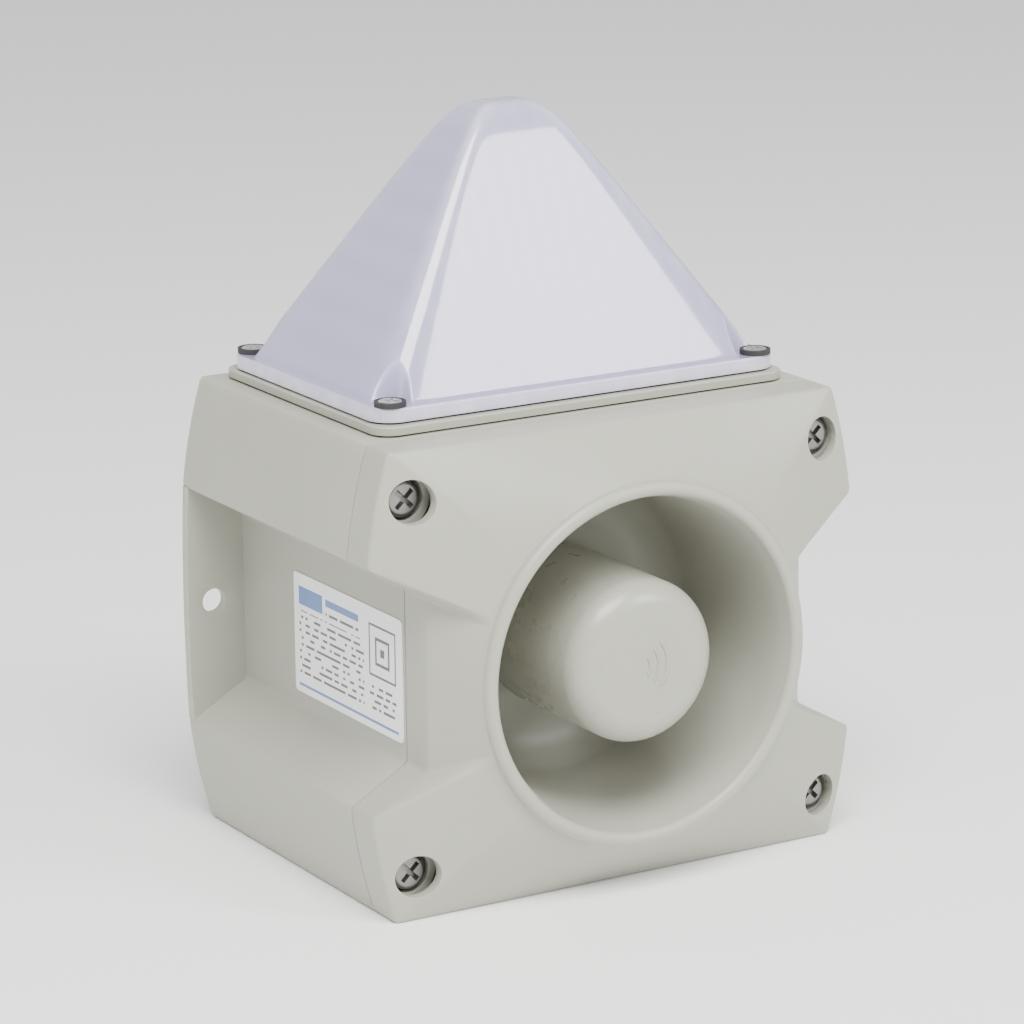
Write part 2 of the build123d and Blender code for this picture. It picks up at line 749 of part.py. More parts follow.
dip_x = 26.0
dip_z = 9.0
dip_h = 4.0
lever_w = 1.0
lever_h = 1.1
lever_tall = 1.9
lever_gap = 0.3
lever_lift = 0.1
lever_round = 0.2
dip_end = 1.0
dip_deep = 6.4
slot_deep = 1.2
levers = [(i - (lever_count - 1) / 2) * lever_pitch for i in range(lever_count)]
dip_top = at(dip_x, dip_z).offset(dip_h)
with BuildPart() as dip_switch:
    box_on(at(dip_x, dip_z), lever_count * lever_pitch + dip_end, dip_deep, dip_h)
    with BuildSketch(dip_top) as slots:
        with Locations(*[(x, 0) for x in levers]):
            Rectangle(lever_w + lever_gap, lever_h + lever_travel + lever_gap)
    extrude(slots.sketch, amount=-slot_deep, mode=Mode.SUBTRACT)
save(dip_switch, "dip_switch")
for number, x in enumerate(levers, start=1):
    with BuildPart() as lever:
        lever_foot = at(dip_x + x, dip_z - lever_travel / 2, board_front + dip_h - slot_deep + lever_lift)
        box_on(lever_foot, lever_w, lever_h, lever_tall)
        fillet(lever.edges().filter_by(Axis.X).group_by(Axis.Y)[0], lever_round)
    save(lever, f"dip_lever_{number}")

pot_x = 26.0
pot_z = -9.0
pot_h = 4.5
pot_w = 9.5
rotor_r = 3.0
rotor_gap = 0.08
rotor_above = 0.9
well = 2.0
rotor_slot = (4.6, 0.8)
rotor_mark = (0.8, 2.4)
with BuildPart() as volume_pot:
    box_on(at(pot_x, pot_z), pot_w, pot_w, pot_h)
    disc(at(pot_x, pot_z).offset(pot_h), [(0, 0)], rotor_r + rotor_gap, -well, Mode.SUBTRACT)
save(volume_pot, "volume_pot")
with BuildPart() as volume_rotor:
    disc(at(pot_x, pot_z).offset(pot_h - well), [(0, 0)], rotor_r, well + rotor_above)
    rotor_face = at(pot_x, pot_z).offset(pot_h + rotor_above)
    for opening in (rotor_slot, rotor_mark):
        box_on(rotor_face, *opening, -slot_cut, Mode.SUBTRACT)
save(volume_rotor, "volume_rotor")

capacitor_spots = [(-31.0, 20.0), (-31.0, 8.0), (-19.0, 8.0)]
capacitor_r = 5.0
capacitor_h = 12.0
capacitor_round = 0.8
with BuildPart() as capacitors:
    disc(face, capacitor_spots, capacitor_r, capacitor_h)
    fillet(capacitors.edges().filter_by(GeomType.CIRCLE).group_by(Axis.Y)[0], capacitor_round)
save(capacitors, "capacitors")

inductor_spot = [(-30.0, -12.0)]
bobbin_r = 6.5
bobbin_flange = 1.5
winding_r = 5.2
winding_h = 5.0
with BuildPart() as inductor:
    disc(face, inductor_spot, bobbin_r, bobbin_flange)
    disc(face.offset(bobbin_flange), inductor_spot, winding_r, winding_h)
    disc(face.offset(bobbin_flange + winding_h), inductor_spot, bobbin_r, bobbin_flange)
save(inductor, "inductor")

chip_h = 1.5
chips = [(2.0, -6.0, 10.0, 10.0), (10.0, 22.0, 5.0, 6.0), (-12.0, -18.0, 6.0, 5.0)]
with BuildPart() as board_chips:
    for x, z, width, height in chips:
        box_on(at(x, z), width, height, chip_h)
save(board_chips, "board_chips")

# plug-in connection between driver and board
socket_x = -1.0
socket_z = 20.0
socket_h = 9.0
socket_size = (13.0, 6.4)
socket_hollow = (10.6, 4.0)
socket_floor = 2.5
plug_size = (12.0, 5.0)
plug_gap = 1.4
pin_pitch = 2.54
pin_w = 0.64
pin_len = 6.0
pin_spots = [((i - 1.5) * pin_pitch, 0) for i in range(4)]
with BuildPart() as sounder_socket:
    box_on(at(socket_x, socket_z), *socket_size, socket_h)
    box_on(at(socket_x, socket_z).offset(socket_h), *socket_hollow, socket_floor - socket_h, Mode.SUBTRACT)
save(sounder_socket, "sounder_socket")
block_front = board_front + socket_h + plug_gap
with BuildPart() as driver_plug:
    box_on(at(socket_x, socket_z, block_front), *plug_size, can_rear - block_front)
save(driver_plug, "driver_plug")
with BuildPart() as driver_pins:
    with BuildSketch(at(socket_x, socket_z, block_front)) as pins:
        with Locations(*pin_spots):
            Rectangle(pin_w, pin_w)
    extrude(pins.sketch, amount=-pin_len)
save(driver_pins, "driver_pins")

# ---------------------------------------------------------------- lens unit
lens_screws_at = lens_screw_places()
led_posts = [(sx * led_post_x, sy * led_post_y) for sx in (-1, 1) for sy in (-1, 1)]
with BuildPart() as plinth_gasket:
    plate(level(half_h), plinth_w - 2 * gasket_in, plinth_d - 2 * gasket_in, plinth_round - gasket_in, gasket)
    plate(level(half_h), skirt_w + 2 * gasket_ring, skirt_d + 2 * gasket_ring, skirt_round, gasket,
          Mode.SUBTRACT)
    disc(level(half_h), lens_screws_at, lens_boss_d / 2 + fit_gap, gasket, Mode.SUBTRACT)
    disc(level(half_h), plinth_fix, plinth_fix_hole, gasket, Mode.SUBTRACT)
save(plinth_gasket, "plinth_gasket")

with BuildPart() as lens_plinth:
    plate(level(plinth_bottom), plinth_w, plinth_d, plinth_round, plinth_h)
    fillet(lens_plinth.edges().group_by(Axis.Z)[-1], plinth_edge)
    plate(level(plinth_bottom), skirt_w, skirt_d, skirt_round, -skirt_drop)
    plate(level(plinth_bottom), skirt_w - 2 * skirt_wall, skirt_d - 2 * skirt_wall, skirt_inner_round,
          -skirt_drop, Mode.SUBTRACT)
    disc(level(plinth_bottom), lens_screws_at, lens_boss_d / 2, -lens_boss_drop)
    disc(level(plinth_top), plinth_fix, plinth_fix_boss_r, plinth_fix_boss)
    disc(level(plinth_top), led_posts, led_post_d / 2, led_post_h)
    disc(level(plinth_top), lens_screws_at, lens_insert_r, -lens_insert_len, Mode.SUBTRACT)
    disc(level(plinth_bottom), plinth_fix, plinth_fix_pilot, plinth_fix_pilot_deep, Mode.SUBTRACT)
    disc(level(led_board_bottom), led_posts, led_post_pilot, -led_post_pilot_deep, Mode.SUBTRACT)
    disc(level(plinth_top), [(lead_x, 0)], lead_hole_r, -plinth_h, Mode.SUBTRACT)
save(lens_plinth, "lens_plinth")

under_roof = Plane(origin=(0, -plinth_mid, half_h - wall), x_dir=(1, 0, 0), z_dir=(0, 0, -1))
save(screw(under_roof, plinth_fix, plinth_fix_head_r, plinth_fix_head_h, plinth_fix_shank_r,
           plinth_fix_shank), "plinth_screws")
save(rings(level(plinth_top - lens_insert_len), lens_screws_at, lens_insert_r,
           lens_shank_d / 2 + bore_clearance, lens_insert_len), "lens_inserts")

with BuildPart() as lens_gasket:
    plate(level(plinth_top), lens_w - 2 * lens_seal_in, lens_d - 2 * lens_seal_in,
          lens_round - lens_seal_in, gasket)
    plate(level(plinth_top), lens_seal_w, lens_seal_d, skirt_round, gasket, Mode.SUBTRACT)
    disc(level(plinth_top), lens_screws_at, lens_seal_hole, gasket, Mode.SUBTRACT)
save(lens_gasket, "lens_gasket")


def side_view(plane, slope, tip, top, base):
    """Prism of a tall triangle whose tip is rounded off so that it ends at the height top."""
    round_r = (tip - top) / (1 / sin(atan(slope)) - 1)
    foot = slope * (tip - base)
    with BuildPart() as prism:
        with BuildSketch(plane) as triangle:
            with BuildLine():
                Polyline((-foot, base), (0, tip), (foot, base), close=True)
            make_face()
            fillet(triangle.vertices().sort_by(Axis.Y)[-1], round_r)
        extrude(triangle.sketch, amount=body_width, both=True)
    return prism.part


def pyramid(tip, top, base):
    """Four-sided pyramid with rounded ridges and a rounded top."""
    with BuildPart() as shape:
        for height in (base, tip - pyramid_crown):
            half_x = lens_slope_x * (tip - height)
            half_y = lens_slope_y * (tip - height)
            with BuildSketch(level(height)):
                RectangleRounded(2 * half_x, 2 * half_y, half_y * lens_ridge_round)
        loft(ruled=True)
        middle = Plane(origin=(0, -plinth_mid, 0), x_dir=(1, 0, 0), z_dir=(0, -1, 0))
        add(side_view(middle, lens_slope_x, tip, top, base), mode=Mode.INTERSECT)
        across = Plane(origin=(0, -plinth_mid, 0), x_dir=(0, 1, 0), z_dir=(1, 0, 0))
        add(side_view(across, lens_slope_y, tip, top + lens_crest, base), mode=Mode.INTERSECT)
    return shape.part


lens_tip_inside = lens_tip - lens_tip_drop
with BuildPart() as lens_cavity:
    add(pyramid(lens_tip_inside, lens_top - lens_wall, lens_bottom))
    disc(level(lens_bottom), lens_screws_at, pocket_d / 2 + pocket_wall, above_all, Mode.SUBTRACT)
with BuildPart() as lens:
    plate(level(lens_bottom), lens_w, lens_d, lens_round, lens_flange)
    add(pyramid(lens_tip, lens_top, lens_shelf))
    add(lens_cavity.part, mode=Mode.SUBTRACT)
    disc(level(lens_shelf), lens_screws_at, pocket_d / 2, above_all, Mode.SUBTRACT)
    disc(level(lens_bottom), lens_screws_at, lens_shank_d / 2 + lens_screw_gap, lens_flange,
         Mode.SUBTRACT)
save(lens, "lens")

lens_head_r = lens_head_d / 2
with BuildPart() as lens_screw_seals:
    disc(level(lens_shelf), lens_screws_at, lens_head_r + lens_cup_wall, lens_cup_h)
    disc(level(lens_shelf + seal_thick), lens_screws_at, lens_head_r + lens_cup_fit, lens_cup_h,
         Mode.SUBTRACT)
    disc(level(lens_shelf), lens_screws_at, lens_shank_d / 2 + lens_cup_fit, lens_cup_h, Mode.SUBTRACT)
save(lens_screw_seals, "lens_screw_seals")
save(screw(level(lens_shelf + seal_thick), lens_screws_at, lens_head_r, lens_head_h, lens_shank_d / 2,
           lens_shank), "lens_screws")

# ---------------------------------------------------------------- strobe board
with BuildPart() as led_board:
    plate(level(led_board_bottom), led_board_w, led_board_d, led_board_round, board_thick)
    disc(level(led_board_bottom), led_posts, led_hole_r, board_thick, Mode.SUBTRACT)
save(led_board, "led_board")
save(screw(level(led_board_top), led_posts, led_head_r, led_head_h, led_shank_r, led_shank),
     "led_board_screws")
led_places = [(0, 0)]
led_places += [(led_ring_r * cos(radians(60 * i)), led_ring_r * sin(radians(60 * i))) for i in range(6)]
with BuildPart() as led_emitters:
    with BuildSketch(level(led_board_top)) as dice:
        with Locations(*led_places):
            Rectangle(led_size, led_size)
    extrude(dice.sketch, amount=led_h)
save(led_emitters, "led_emitters")
with BuildPart() as led_reflector:
    with BuildSketch(Plane.XZ) as wallline:
        with BuildLine():
            Polyline((reflector_r1, led_board_top), (reflector_r1 + reflector_foot, led_board_top),
                     (reflector_r2 + reflector_lip, led_board_top + reflector_h),
                     (reflector_r2, led_board_top + reflector_h), close=True)
        make_face()
    revolve(wallline.sketch, axis=Axis.Z)
led_reflector.part.position = (0, -plinth_mid, 0)
save(led_reflector, "led_reflector")

with BuildPart() as led_board_socket:
    box_on(Plane(origin=(lead_x, -plinth_mid, led_board_bottom), x_dir=(1, 0, 0), z_dir=(0, 0, -1)),
           *lead_socket)
save(led_board_socket, "led_board_socket")
with BuildPart() as led_main_socket:
    box_on(at(lead_x, lead_z), *lead_main_socket)
save(led_main_socket, "led_main_socket")
with BuildPart() as led_lead:
    with BuildLine() as route:
        lead_top = (lead_x, -plinth_mid, led_board_bottom - lead_socket[2])
        FilletPolyline(lead_top, (lead_x, -plinth_mid, lead_z),
                       (lead_x, -board_front - lead_main_socket[2], lead_z), radius=lead_bend)
    with BuildSketch(Plane(origin=lead_top, z_dir=(0, 0, -1))):
        Circle(lead_r)
    sweep()
save(led_lead, "led_lead")
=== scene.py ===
# %% [markdown]
# # Horn strobe
# A wall sounder and beacon in one: a folded horn sits in a light grey plastic cover, and a milky
# pyramid lens sits on top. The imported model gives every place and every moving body. This file
# gives that model its surfaces, its finishes and its studio.

# %% Load the frame
import json
import math
import bmesh
import bpy
import numpy as np
from mathutils import Matrix, Vector


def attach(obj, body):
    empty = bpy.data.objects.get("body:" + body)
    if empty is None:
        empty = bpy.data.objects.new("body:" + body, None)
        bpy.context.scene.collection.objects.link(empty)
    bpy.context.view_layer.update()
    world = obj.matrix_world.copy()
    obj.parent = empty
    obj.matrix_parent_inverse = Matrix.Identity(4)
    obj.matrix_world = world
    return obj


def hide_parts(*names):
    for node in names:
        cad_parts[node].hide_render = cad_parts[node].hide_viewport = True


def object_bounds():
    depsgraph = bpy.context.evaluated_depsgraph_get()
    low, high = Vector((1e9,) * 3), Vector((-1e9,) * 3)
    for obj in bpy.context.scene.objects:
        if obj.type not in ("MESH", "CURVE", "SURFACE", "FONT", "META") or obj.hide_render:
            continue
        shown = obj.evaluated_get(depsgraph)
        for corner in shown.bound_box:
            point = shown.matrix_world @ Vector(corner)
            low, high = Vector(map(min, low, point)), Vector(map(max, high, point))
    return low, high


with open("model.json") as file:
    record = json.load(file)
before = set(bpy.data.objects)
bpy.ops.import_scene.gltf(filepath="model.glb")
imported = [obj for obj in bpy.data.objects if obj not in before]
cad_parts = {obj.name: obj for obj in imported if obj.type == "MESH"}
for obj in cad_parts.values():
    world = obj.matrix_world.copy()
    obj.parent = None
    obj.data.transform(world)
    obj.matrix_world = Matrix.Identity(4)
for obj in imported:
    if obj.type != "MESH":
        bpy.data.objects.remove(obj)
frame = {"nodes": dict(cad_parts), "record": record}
cad_low, cad_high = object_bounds()
MM = 0.001

# %% [markdown]
# ## The camera
# A long lens about a metre away keeps the edges of the box nearly parallel. The three turns are
# given as yaw, pitch and roll, and the matrix below turns them into Blender's camera axes, in
# which the view looks along -Z.

# %% Camera
CAMERA_PLACE = (-0.53694, -0.94971, 0.29894)
CAMERA_YAW, CAMERA_PITCH, CAMERA_ROLL = map(math.radians, (30.71, -14.67, -0.57))


def camera_axes(yaw, pitch, roll):
    """Right, up and backward unit vectors: look along yaw and pitch, then turn by roll."""
    ahead = Vector((math.sin(yaw) * math.cos(pitch), math.cos(yaw) * math.cos(pitch), math.sin(pitch)))
    level_right = ahead.cross(Vector((0, 0, 1))).normalized()
    level_up = level_right.cross(ahead)
    right = math.cos(roll) * level_right + math.sin(roll) * level_up
    up = math.cos(roll) * level_up - math.sin(roll) * level_right
    return right, up, -ahead


camera_data = bpy.data.cameras.new("studio_camera")
camera_data.lens = 155.16
camera_data.sensor_width = 36.0
camera_data.clip_start = 0.05
camera = bpy.data.objects.new("studio_camera", camera_data)
bpy.context.scene.collection.objects.link(camera)
camera.matrix_world = Matrix.Translation(CAMERA_PLACE) @ Matrix(
    camera_axes(CAMERA_YAW, CAMERA_PITCH, CAMERA_ROLL)).transposed().to_4x4()
bpy.context.scene.camera = camera
print("camera distance", round(Vector(CAMERA_PLACE).length, 3))

# %% [markdown]
# ## Floor and light
# The product stands on a white sweep. A large soft panel above and to the left makes the cap's
# two curved highlights, a panel at the right front is what the lens's front face reflects, and
# a nearly white world fills the shade from all sides.

# %% Shader helpers


def new_material(name):
    """A material with an empty node tree, its Principled shader and its output."""
    material = bpy.data.materials.new(name)
    material.use_nodes = True
    nodes, links = material.node_tree.nodes, material.node_tree.links
    shader = nodes["Principled BSDF"]
    return material, nodes, links, shader


def add_node(nodes, kind, **settings):
    """Adds a node and sets its properties or, where the name is a socket's, its input value."""
    node = nodes.new(kind)
    for key, value in settings.items():
        if hasattr(node, key):
            setattr(node, key, value)
        else:
            node.inputs[key.replace("_", " ")].default_value = value
    return node


# %% Floor
FLOOR_HALF = 3.0
floor_height = float(cad_low[2])


def sweep_surface(half, height, rise, bend):
    """Floor that curves up behind: y runs back, then a quarter circle of radius bend, then up."""
    turn = np.linspace(0, np.pi / 2, 24)
    y = np.concatenate([[-half], half - bend + bend * np.sin(turn), [half]])
    z = np.concatenate([[0.0], bend * (1 - np.cos(turn)), [rise]]) + height
    x = np.array([-half, half])
    grid = np.stack([np.repeat(x[None, :], len(y), 0), np.repeat(y[:, None], 2, 1),
                     np.repeat(z[:, None], 2, 1)], axis=2)
    faces = [(2 * i, 2 * i + 1, 2 * i + 3, 2 * i + 2) for i in range(len(y) - 1)]
    mesh = bpy.data.meshes.new("studio_floor")
    mesh.from_pydata(grid.reshape(-1, 3).tolist(), [], faces)
    mesh.polygons.foreach_set("use_smooth", [True] * len(faces))
    return mesh


floor = bpy.data.objects.new("studio_floor", sweep_surface(FLOOR_HALF, floor_height, 2.5, 1.2))
bpy.context.scene.collection.objects.link(floor)
floor_material, nodes, links, shader = new_material("studio_floor")
floor_noise = add_node(nodes, "ShaderNodeTexNoise", Scale=3.0, Detail=3.0)
floor_tint = add_node(nodes, "ShaderNodeValToRGB")
floor_tint.color_ramp.elements[0].color = (0.93, 0.93, 0.925, 1)
floor_tint.color_ramp.elements[1].color = (0.95, 0.95, 0.945, 1)
links.new(floor_noise.outputs["Fac"], floor_tint.inputs["Fac"])
links.new(floor_tint.outputs["Color"], shader.inputs["Base Color"])
shader.inputs["Roughness"].default_value = 0.9
floor.data.materials.append(floor_material)

# %% Lights
world = bpy.data.worlds.new("studio_world")
bpy.context.scene.world = world
world.use_nodes = True
world.node_tree.nodes["Background"].inputs["Color"].default_value = (0.97, 0.98, 1.0, 1)
world.node_tree.nodes["Background"].inputs["Strength"].default_value = 0.75
AIM = Vector((0.0, -0.05, 0.02))


def soft_panel(name, place, size, power, colour):
    """A square area light that looks at the middle of the product."""
    data = bpy.data.lights.new(name, "AREA")
    data.shape = "RECTANGLE"
    data.size, data.size_y = size
    data.energy = power
    data.color = colour
    panel = bpy.data.objects.new(name, data)
    bpy.context.scene.collection.objects.link(panel)
    panel.location = place
    panel.rotation_mode = "QUATERNION"
    panel.rotation_quaternion = (AIM - Vector(place)).to_track_quat("-Z", "Y")
    return panel


soft_panel("top_panel", (-0.35, -0.75, 1.2), (0.9, 0.7), 36.0, (1.0, 0.99, 0.97))
soft_panel("right_panel", (0.83, -1.30, 0.87), (0.5, 0.75), 17.0, (1.0, 1.0, 1.0))
soft_panel("left_panel", (-1.3, -0.3, 0.55), (0.6, 0.9), 3.0, (0.97, 0.98, 1.0))

# %% [markdown]
# ## Finishes
# Moulded plastic is never one flat colour. Its tool leaves a fine grain, the melt leaves faint
# cloudy changes, edges polish slightly and dust settles in what faces up. Each effect is a node
# group that puts out only a mask or a height, so every material can use it with its own amounts.

# %% Node groups


def group_with(name, inputs, outputs):
    """An empty shader node group with named number sockets, its input and its output node."""
    group = bpy.data.node_groups.new(name, "ShaderNodeTree")
    for socket, default in inputs:
        item = group.interface.new_socket(socket, in_out="INPUT", socket_type="NodeSocketFloat")
        item.default_value = default
    for socket in outputs:
        group.interface.new_socket(socket, in_out="OUTPUT", socket_type="NodeSocketFloat")
    nodes = group.nodes
    return group, nodes, nodes.new("NodeGroupInput"), nodes.new("NodeGroupOutput")


def make_grain():
    """Fine tool grain (Height) and slow cloudiness (Cloud), both from noise on object coordinates."""
    group, nodes, inside, outside = group_with(
        "tool_grain", [("Grain Size", 0.0006), ("Cloud Size", 0.03)], ["Height", "Cloud"])
    links = group.links
    place = nodes.new("ShaderNodeTexCoord")
    for size, output, detail in (("Grain Size", "Height", 2.0), ("Cloud Size", "Cloud", 4.0)):
        scale = add_node(nodes, "ShaderNodeMath", operation="DIVIDE")
        scale.inputs[0].default_value = 1.0
        links.new(inside.outputs[size], scale.inputs[1])
        noise = add_node(nodes, "ShaderNodeTexNoise", Detail=detail, Roughness=0.6)
        links.new(place.outputs["Object"], noise.inputs["Vector"])
        links.new(scale.outputs[0], noise.inputs["Scale"])
        links.new(noise.outputs["Fac"], outside.inputs[output])
    return group


def make_edge_mask():
    """Mask of convex edges from the geometry's pointiness, broken up by noise: lighter edge wear on the finishes,
    a painted edge highlight on the lens.
    """
    group, nodes, inside, outside = group_with("edge_polish", [("Reach", 0.06)], ["Mask"])
    links = group.links
    geometry = nodes.new("ShaderNodeNewGeometry")
    spread = add_node(nodes, "ShaderNodeMath", operation="SUBTRACT")
    spread.inputs[1].default_value = 0.5
    links.new(geometry.outputs["Pointiness"], spread.inputs[0])
    share = add_node(nodes, "ShaderNodeMath", operation="DIVIDE", use_clamp=True)
    links.new(spread.outputs[0], share.inputs[0])
    links.new(inside.outputs["Reach"], share.inputs[1])
    place = nodes.new("ShaderNodeTexCoord")
    noise = add_node(nodes, "ShaderNodeTexNoise", Scale=180.0, Detail=3.0)
    links.new(place.outputs["Object"], noise.inputs["Vector"])
    broken = add_node(nodes, "ShaderNodeMath", operation="MULTIPLY")
    links.new(share.outputs[0], broken.inputs[0])
    links.new(noise.outputs["Fac"], broken.inputs[1])
    links.new(broken.outputs[0], outside.inputs["Mask"])
    return group


def make_dust():
    """Mask of surfaces that face up, patchy, for settled dust."""
    group, nodes, inside, outside = group_with("settled_dust", [("Patch Size", 0.008)], ["Mask"])
    links = group.links
    geometry = nodes.new("ShaderNodeNewGeometry")
    split = nodes.new("ShaderNodeSeparateXYZ")
    links.new(geometry.outputs["Normal"], split.inputs[0])
    up = add_node(nodes, "ShaderNodeMapRange")
    up.inputs["From Min"].default_value = 0.3
    up.inputs["From Max"].default_value = 1.0
    links.new(split.outputs["Z"], up.inputs["Value"])
    scale = add_node(nodes, "ShaderNodeMath", operation="DIVIDE")
    scale.inputs[0].default_value = 1.0
    links.new(inside.outputs["Patch Size"], scale.inputs[1])
    place = nodes.new("ShaderNodeTexCoord")
    noise = add_node(nodes, "ShaderNodeTexNoise", Detail=6.0, Roughness=0.7)
    links.new(place.outputs["Object"], noise.inputs["Vector"])
    links.new(scale.outputs[0], noise.inputs["Scale"])
    patch = add_node(nodes, "ShaderNodeMath", operation="MULTIPLY")
    links.new(up.outputs["Result"], patch.inputs[0])
    links.new(noise.outputs["Fac"], patch.inputs[1])
    links.new(patch.outputs[0], outside.inputs["Mask"])
    return group


GRAIN, EDGES, DUST = make_grain(), make_edge_mask(), make_dust()
print("node groups", [g.name for g in (GRAIN, EDGES, DUST)])

# %% Moulded plastic and other finishes


def use_group(nodes, group, **values):
    """Places a node group and sets its inputs."""
    node = nodes.new("ShaderNodeGroup")
    node.node_tree = group
    for key, value in values.items():
        node.inputs[key.replace("_", " ")].default_value = value
    return node


def blend_colour(nodes, links, mask, first, second, amount=1.0):
    """Mixes two colours (tuples or sockets) by a mask socket times amount and returns the result."""
    share = add_node(nodes, "ShaderNodeMath", operation="MULTIPLY", use_clamp=True)
    links.new(mask, share.inputs[0])
    share.inputs[1].default_value = amount
    mix = nodes.new("ShaderNodeMix")
    mix.data_type = "RGBA"
    links.new(share.outputs[0], mix.inputs["Factor"])
    for socket, value in ((mix.inputs["A"], first), (mix.inputs["B"], second)):
        if isinstance(value, tuple):
            socket.default_value = (*value, 1.0)
        else:
            links.new(value, socket)
    return mix.outputs["Result"]


def finish_material(name, colour, cloud, rough, rough_swing=0.08, grain_size=0.0006, grain_depth=0.00001,
                    metallic=0.0, edge=0.25, dust=0.0, coat=0.0, specular=0.5):
    """One moulded, cast or plated finish: base and cloud colour, edge polish, dust, roughness and grain."""
    material, nodes, links, shader = new_material(name)
    grain = use_group(nodes, GRAIN, Grain_Size=grain_size, Cloud_Size=0.03)
    edges = use_group(nodes, EDGES, Reach=0.08)
    tint = blend_colour(nodes, links, grain.outputs["Cloud"], colour, cloud)
    light = tuple(min(1.0, c * 1.15 + 0.02) for c in colour)
    tint = blend_colour(nodes, links, edges.outputs["Mask"], tint, light, edge)
    if dust:
        settled = use_group(nodes, DUST, Patch_Size=0.008)
        tint = blend_colour(nodes, links, settled.outputs["Mask"], tint, (0.62, 0.60, 0.56), dust)
    links.new(tint, shader.inputs["Base Color"])
    roughness = add_node(nodes, "ShaderNodeMapRange")
    roughness.inputs["To Min"].default_value = rough - rough_swing
    roughness.inputs["To Max"].default_value = rough + rough_swing
    links.new(grain.outputs["Cloud"], roughness.inputs["Value"])
    links.new(roughness.outputs["Result"], shader.inputs["Roughness"])
    bump = add_node(nodes, "ShaderNodeBump", Strength=0.35, Distance=grain_depth)
    links.new(grain.outputs["Height"], bump.inputs["Height"])
    links.new(bump.outputs["Normal"], shader.inputs["Normal"])
    shader.inputs["Metallic"].default_value = metallic
    shader.inputs["Specular IOR Level"].default_value = specular
    shader.inputs["Coat Weight"].default_value = coat
    return material


PLASTIC = finish_material("housing_plastic", (0.350, 0.350, 0.292), (0.380, 0.379, 0.318), 0.40,
                          grain_size=0.0005, grain_depth=0.00002, edge=0.22, dust=0.05)
CAP_PLASTIC = finish_material("cap_plastic", (0.350, 0.350, 0.294), (0.375, 0.374, 0.316), 0.28,
                              grain_size=0.0005, grain_depth=0.000012, edge=0.15)
RUBBER = finish_material("seal_rubber", (0.018, 0.018, 0.018), (0.03, 0.03, 0.029), 0.62, grain_depth=0.00002)
DARK_STEEL = finish_material("dark_steel", (0.21, 0.205, 0.195), (0.30, 0.295, 0.28), 0.36, metallic=0.85,
                             grain_size=0.0003, edge=0.5)
BRIGHT_STEEL = finish_material("bright_steel", (0.60, 0.60, 0.58), (0.72, 0.72, 0.70), 0.26, metallic=1.0,
                               grain_size=0.0003, edge=0.3)
PLATED = finish_material("plated_steel", (0.62, 0.61, 0.56), (0.70, 0.69, 0.63), 0.32, metallic=1.0)
BRASS = finish_material("brass", (0.72, 0.52, 0.22), (0.80, 0.60, 0.30), 0.28, metallic=1.0)
COPPER = finish_material("copper_wire", (0.70, 0.33, 0.17), (0.80, 0.42, 0.24), 0.3, metallic=1.0,
                         grain_size=0.0002, grain_depth=0.00003)
BLACK_PLASTIC = finish_material("dark_plastic", (0.025, 0.025, 0.026), (0.04, 0.04, 0.042), 0.45, edge=0.1)
WHITE_PLASTIC = finish_material("white_plastic", (0.80, 0.80, 0.77), (0.86, 0.86, 0.84), 0.4)
GREEN_PLASTIC = finish_material("terminal_green", (0.035, 0.28, 0.09), (0.05, 0.34, 0.12), 0.4)
BLUE_PLASTIC = finish_material("switch_blue", (0.02, 0.09, 0.34), (0.03, 0.12, 0.40), 0.38)
SLEEVE = finish_material("capacitor_sleeve", (0.02, 0.02, 0.045), (0.03, 0.03, 0.06), 0.25, coat=0.4)
FERRITE = finish_material("ferrite", (0.045, 0.045, 0.047), (0.07, 0.07, 0.07), 0.55, grain_depth=0.00004)
RESIN = finish_material("chip_resin", (0.015, 0.015, 0.016), (0.025, 0.025, 0.026), 0.5)
FILM = finish_material("diaphragm_film", (0.42, 0.27, 0.08), (0.50, 0.34, 0.12), 0.22, coat=0.5)
JACKET = finish_material("lead_jacket", (0.02, 0.02, 0.022), (0.035, 0.035, 0.037), 0.5)
PHOSPHOR = finish_material("led_phosphor", (0.86, 0.66, 0.12), (0.90, 0.72, 0.2), 0.3, coat=0.6)

# %% Board laminate with its copper tracks showing through the green mask
laminate, nodes, links, shader = new_material("board_laminate")
place = nodes.new("ShaderNodeTexCoord")
cells = add_node(nodes, "ShaderNodeTexBrick", Scale=160.0, Mortar_Size=0.03)
turned = nodes.new("ShaderNodeMapping")
turned.inputs["Rotation"].default_value = (math.pi / 2, 0, 0)
links.new(place.outputs["Object"], turned.inputs["Vector"])
links.new(turned.outputs["Vector"], cells.inputs["Vector"])
cells.inputs["Color1"].default_value = (0.012, 0.13, 0.045, 1)
cells.inputs["Color2"].default_value = (0.016, 0.155, 0.055, 1)
cells.inputs["Mortar"].default_value = (0.06, 0.26, 0.09, 1)
links.new(cells.outputs["Color"], shader.inputs["Base Color"])
shader.inputs["Roughness"].default_value = 0.28
shader.inputs["Coat Weight"].default_value = 0.4
LAMINATE = laminate

# %% [markdown]
# ## The waisted outline
# Housing and cover share one twelve-cornered outline: two wide blocks with a waist between them
# that leaves room for the wall screws. The moulding's corners are slightly round and the sloping
# sides bow outwards. Each place on the outline is tied to an angle on the horn's rim, because the
# cover's front is a fan of facets between the two. All sizes below are in millimetres.

# %% Outline functions
HALF_H, HALF_END, HALF_MID, HALF_WAIST = 57.0, 61.7, 67.5, 52.3
BLOCK_Z, WAIST_Z, BULGE = 30.0, 21.35, 0.7
RIM_ANGLES = (43.0, 23.0, 20.0)
SLOPING = (1, 5, 7, 11)
CORNER_ROUND = 1.1
WALL_THICK = 3.0
SIDE_COUNT = (44, 16, 8, 20, 8, 16)


